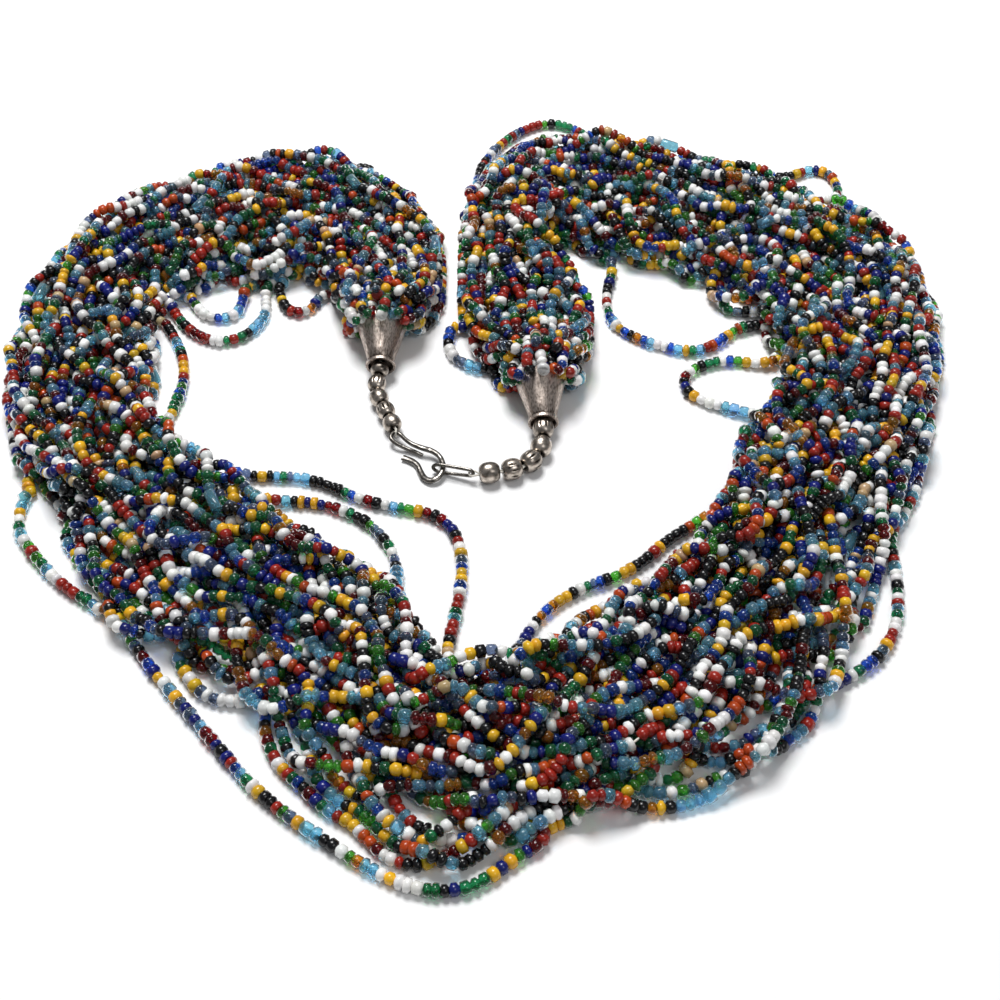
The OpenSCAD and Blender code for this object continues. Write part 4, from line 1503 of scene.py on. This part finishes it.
# %% [markdown]
# ## The hook
# The hook is one length of wire. Its end is tucked under, it runs back in a narrow loop
# for the thread, and its front is hammered flat and bent round into the hook. A Bezier curve
# with a bevel would give round wire only, so the wire is drawn along a list of places, with
# a width and a thickness at each, and with small swellings from the hammer.

# %% Hook
# x, y, z, width seen from above, thickness
HOOK = np.array([
    (-11, -8.3, 0.6, 0.7, 0.7), (-12.6, -7.4, 0.7, 0.8, 0.8), (-14.4, -6.7, 1, 0.8, 0.8),
    (-16.3, -5.8, 1.5, 0.8, 0.8), (-17.2, -4.8, 1.8, 0.8, 0.8), (-17, -3.7, 1.9, 0.8, 0.8),
    (-16.2, -3.3, 1.9, 0.8, 0.8), (-15.3, -4, 1.9, 0.8, 0.8), (-14.3, -5.3, 1.9, 0.8, 0.8),
    (-12.9, -6.6, 1.9, 0.9, 0.9), (-11, -7.5, 1.8, 1.1, 0.9), (-9.2, -8.1, 1.6, 1.1, 0.9),
    (-7.8, -9.3, 1.5, 1, 0.9), (-7, -11.3, 1.5, 1, 0.9), (-7, -13.3, 1.5, 1, 0.9),
    (-7.8, -14.8, 1.2, 1.1, 0.9), (-9.1, -15.3, 0.9, 1.2, 0.9), (-10.4, -14.5, 0.7, 1.2, 0.9),
    (-11.2, -12.8, 0.6, 1.1, 0.9), (-11.9, -11, 0.6, 1.1, 0.9), (-13.1, -9.8, 0.6, 1.2, 0.8),
    (-14.8, -8.9, 0.6, 1.3, 0.7),
])
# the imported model's widths are drawn a tenth wider
HOOK_WIDTH = 1.1
# how much the hammer swells the wire, and the two waves of it, in radians to the mm
SWELLING, SHORT_WAVE, LONG_WAVE = 0.05, 2.6, 1.1
HOOK_SIDES = 20
PLACES_PER_ROW = 8


def drawn(path, across, wide, thick, sides, closed):
    """Rings along a wire; across is the direction square to the bends it makes."""
    if closed:
        ahead = np.roll(path, -1, 0) - np.roll(path, 1, 0)
    else:
        ahead = np.gradient(path, axis=0)
    way = ahead / np.linalg.norm(ahead, axis=1)[:, None]
    side = np.cross(way, across)
    side /= np.linalg.norm(side, axis=1)[:, None]
    up = np.cross(side, way)
    turn = 2 * math.pi * (np.arange(sides) + 0.5) / sides
    return (path[:, None] + side[:, None] * (np.cos(turn)[None] * wide[:, None] / 2)[..., None]
            + up[:, None] * (np.sin(turn)[None] * thick[:, None] / 2)[..., None])


hook = curve_through(HOOK, PLACES_PER_ROW)
along_hook = run_along(hook[:, :3])
blows = 1 + SWELLING * np.sin(along_hook * SHORT_WAVE) * np.sin(along_hook * LONG_WAVE + 1)
rings = drawn(hook[:, :3], (0, 0, 1), HOOK_WIDTH * hook[:, 3] * blows, hook[:, 4] * (2 - blows),
              HOOK_SIDES, closed=False)
metal_piece("forged_hook", rings, np.zeros(rings.shape[:2]), wire_silver, "clasp_hook",
            closed=False)

# %% [markdown]
# ## The eye
# The eye is a long closed loop of thinner wire that stands on its edge. A stretched torus
# would thicken at its sides. The same drawing of wire along places keeps it even, and a few
# places from either end are added first, so that the curve closes without a kink.

# %% Eye
# distance from the eye's near end, height
EYE = np.array([(0, 2), (0.3, 2.6), (0.9, 2.8), (3.8, 2.7), (6.6, 2.55), (7.6, 2.15), (8, 1.5),
                (7.6, 0.8), (6.6, 0.5), (3.8, 0.8), (0.9, 1.2), (0.3, 1.4)])
EYE_NEAR, EYE_FAR = np.array([-1.1, -14.55]), np.array([-9, -12.3])
EYE_WIRE = 0.7
EYE_SIDES = 16

ahead = unit(EYE_FAR - EYE_NEAR)
added = 2 * PLACES_PER_ROW
eye = curve_through(np.vstack([EYE[-2:], EYE, EYE[:3]]), PLACES_PER_ROW)[added:-added]
path = np.column_stack([EYE_NEAR + ahead * eye[:, :1], eye[:, 1]])
wire = np.full(len(path), EYE_WIRE)
rings = drawn(path, (ahead[1], -ahead[0], 0), wire, wire, EYE_SIDES, closed=True)
metal_piece("wire_eye", rings, np.zeros(rings.shape[:2]), wire_silver, "clasp_eye",
            closed=True)

# %% [markdown]
# ## The thread
# White thread shows in the hook's loop and between the silver beads. It could be drawn
# again as twisted yarn, but at 0.4 mm no twist would show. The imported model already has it
# at its true thickness, so it only needs its cotton finish.

# %% Cotton on the thread
for name in ("thread_left", "thread_right"):
    cord_piece = bpy.data.objects[name]
    cord_piece.data.materials.clear()
    cord_piece.data.materials.append(thread_cotton)
print("threads in:", thread_cotton.name)

# %% [markdown]
# ## The size
# The finished piece should fill the room that the imported model has, and hardly more. A look
# at it from above would show a strand that strays too far, but its box gives its size in numbers.

# %% Sizes
low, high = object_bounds()
print("finished piece, mm:", [round((b - a) / MM, 1) for a, b in zip(low, high)])
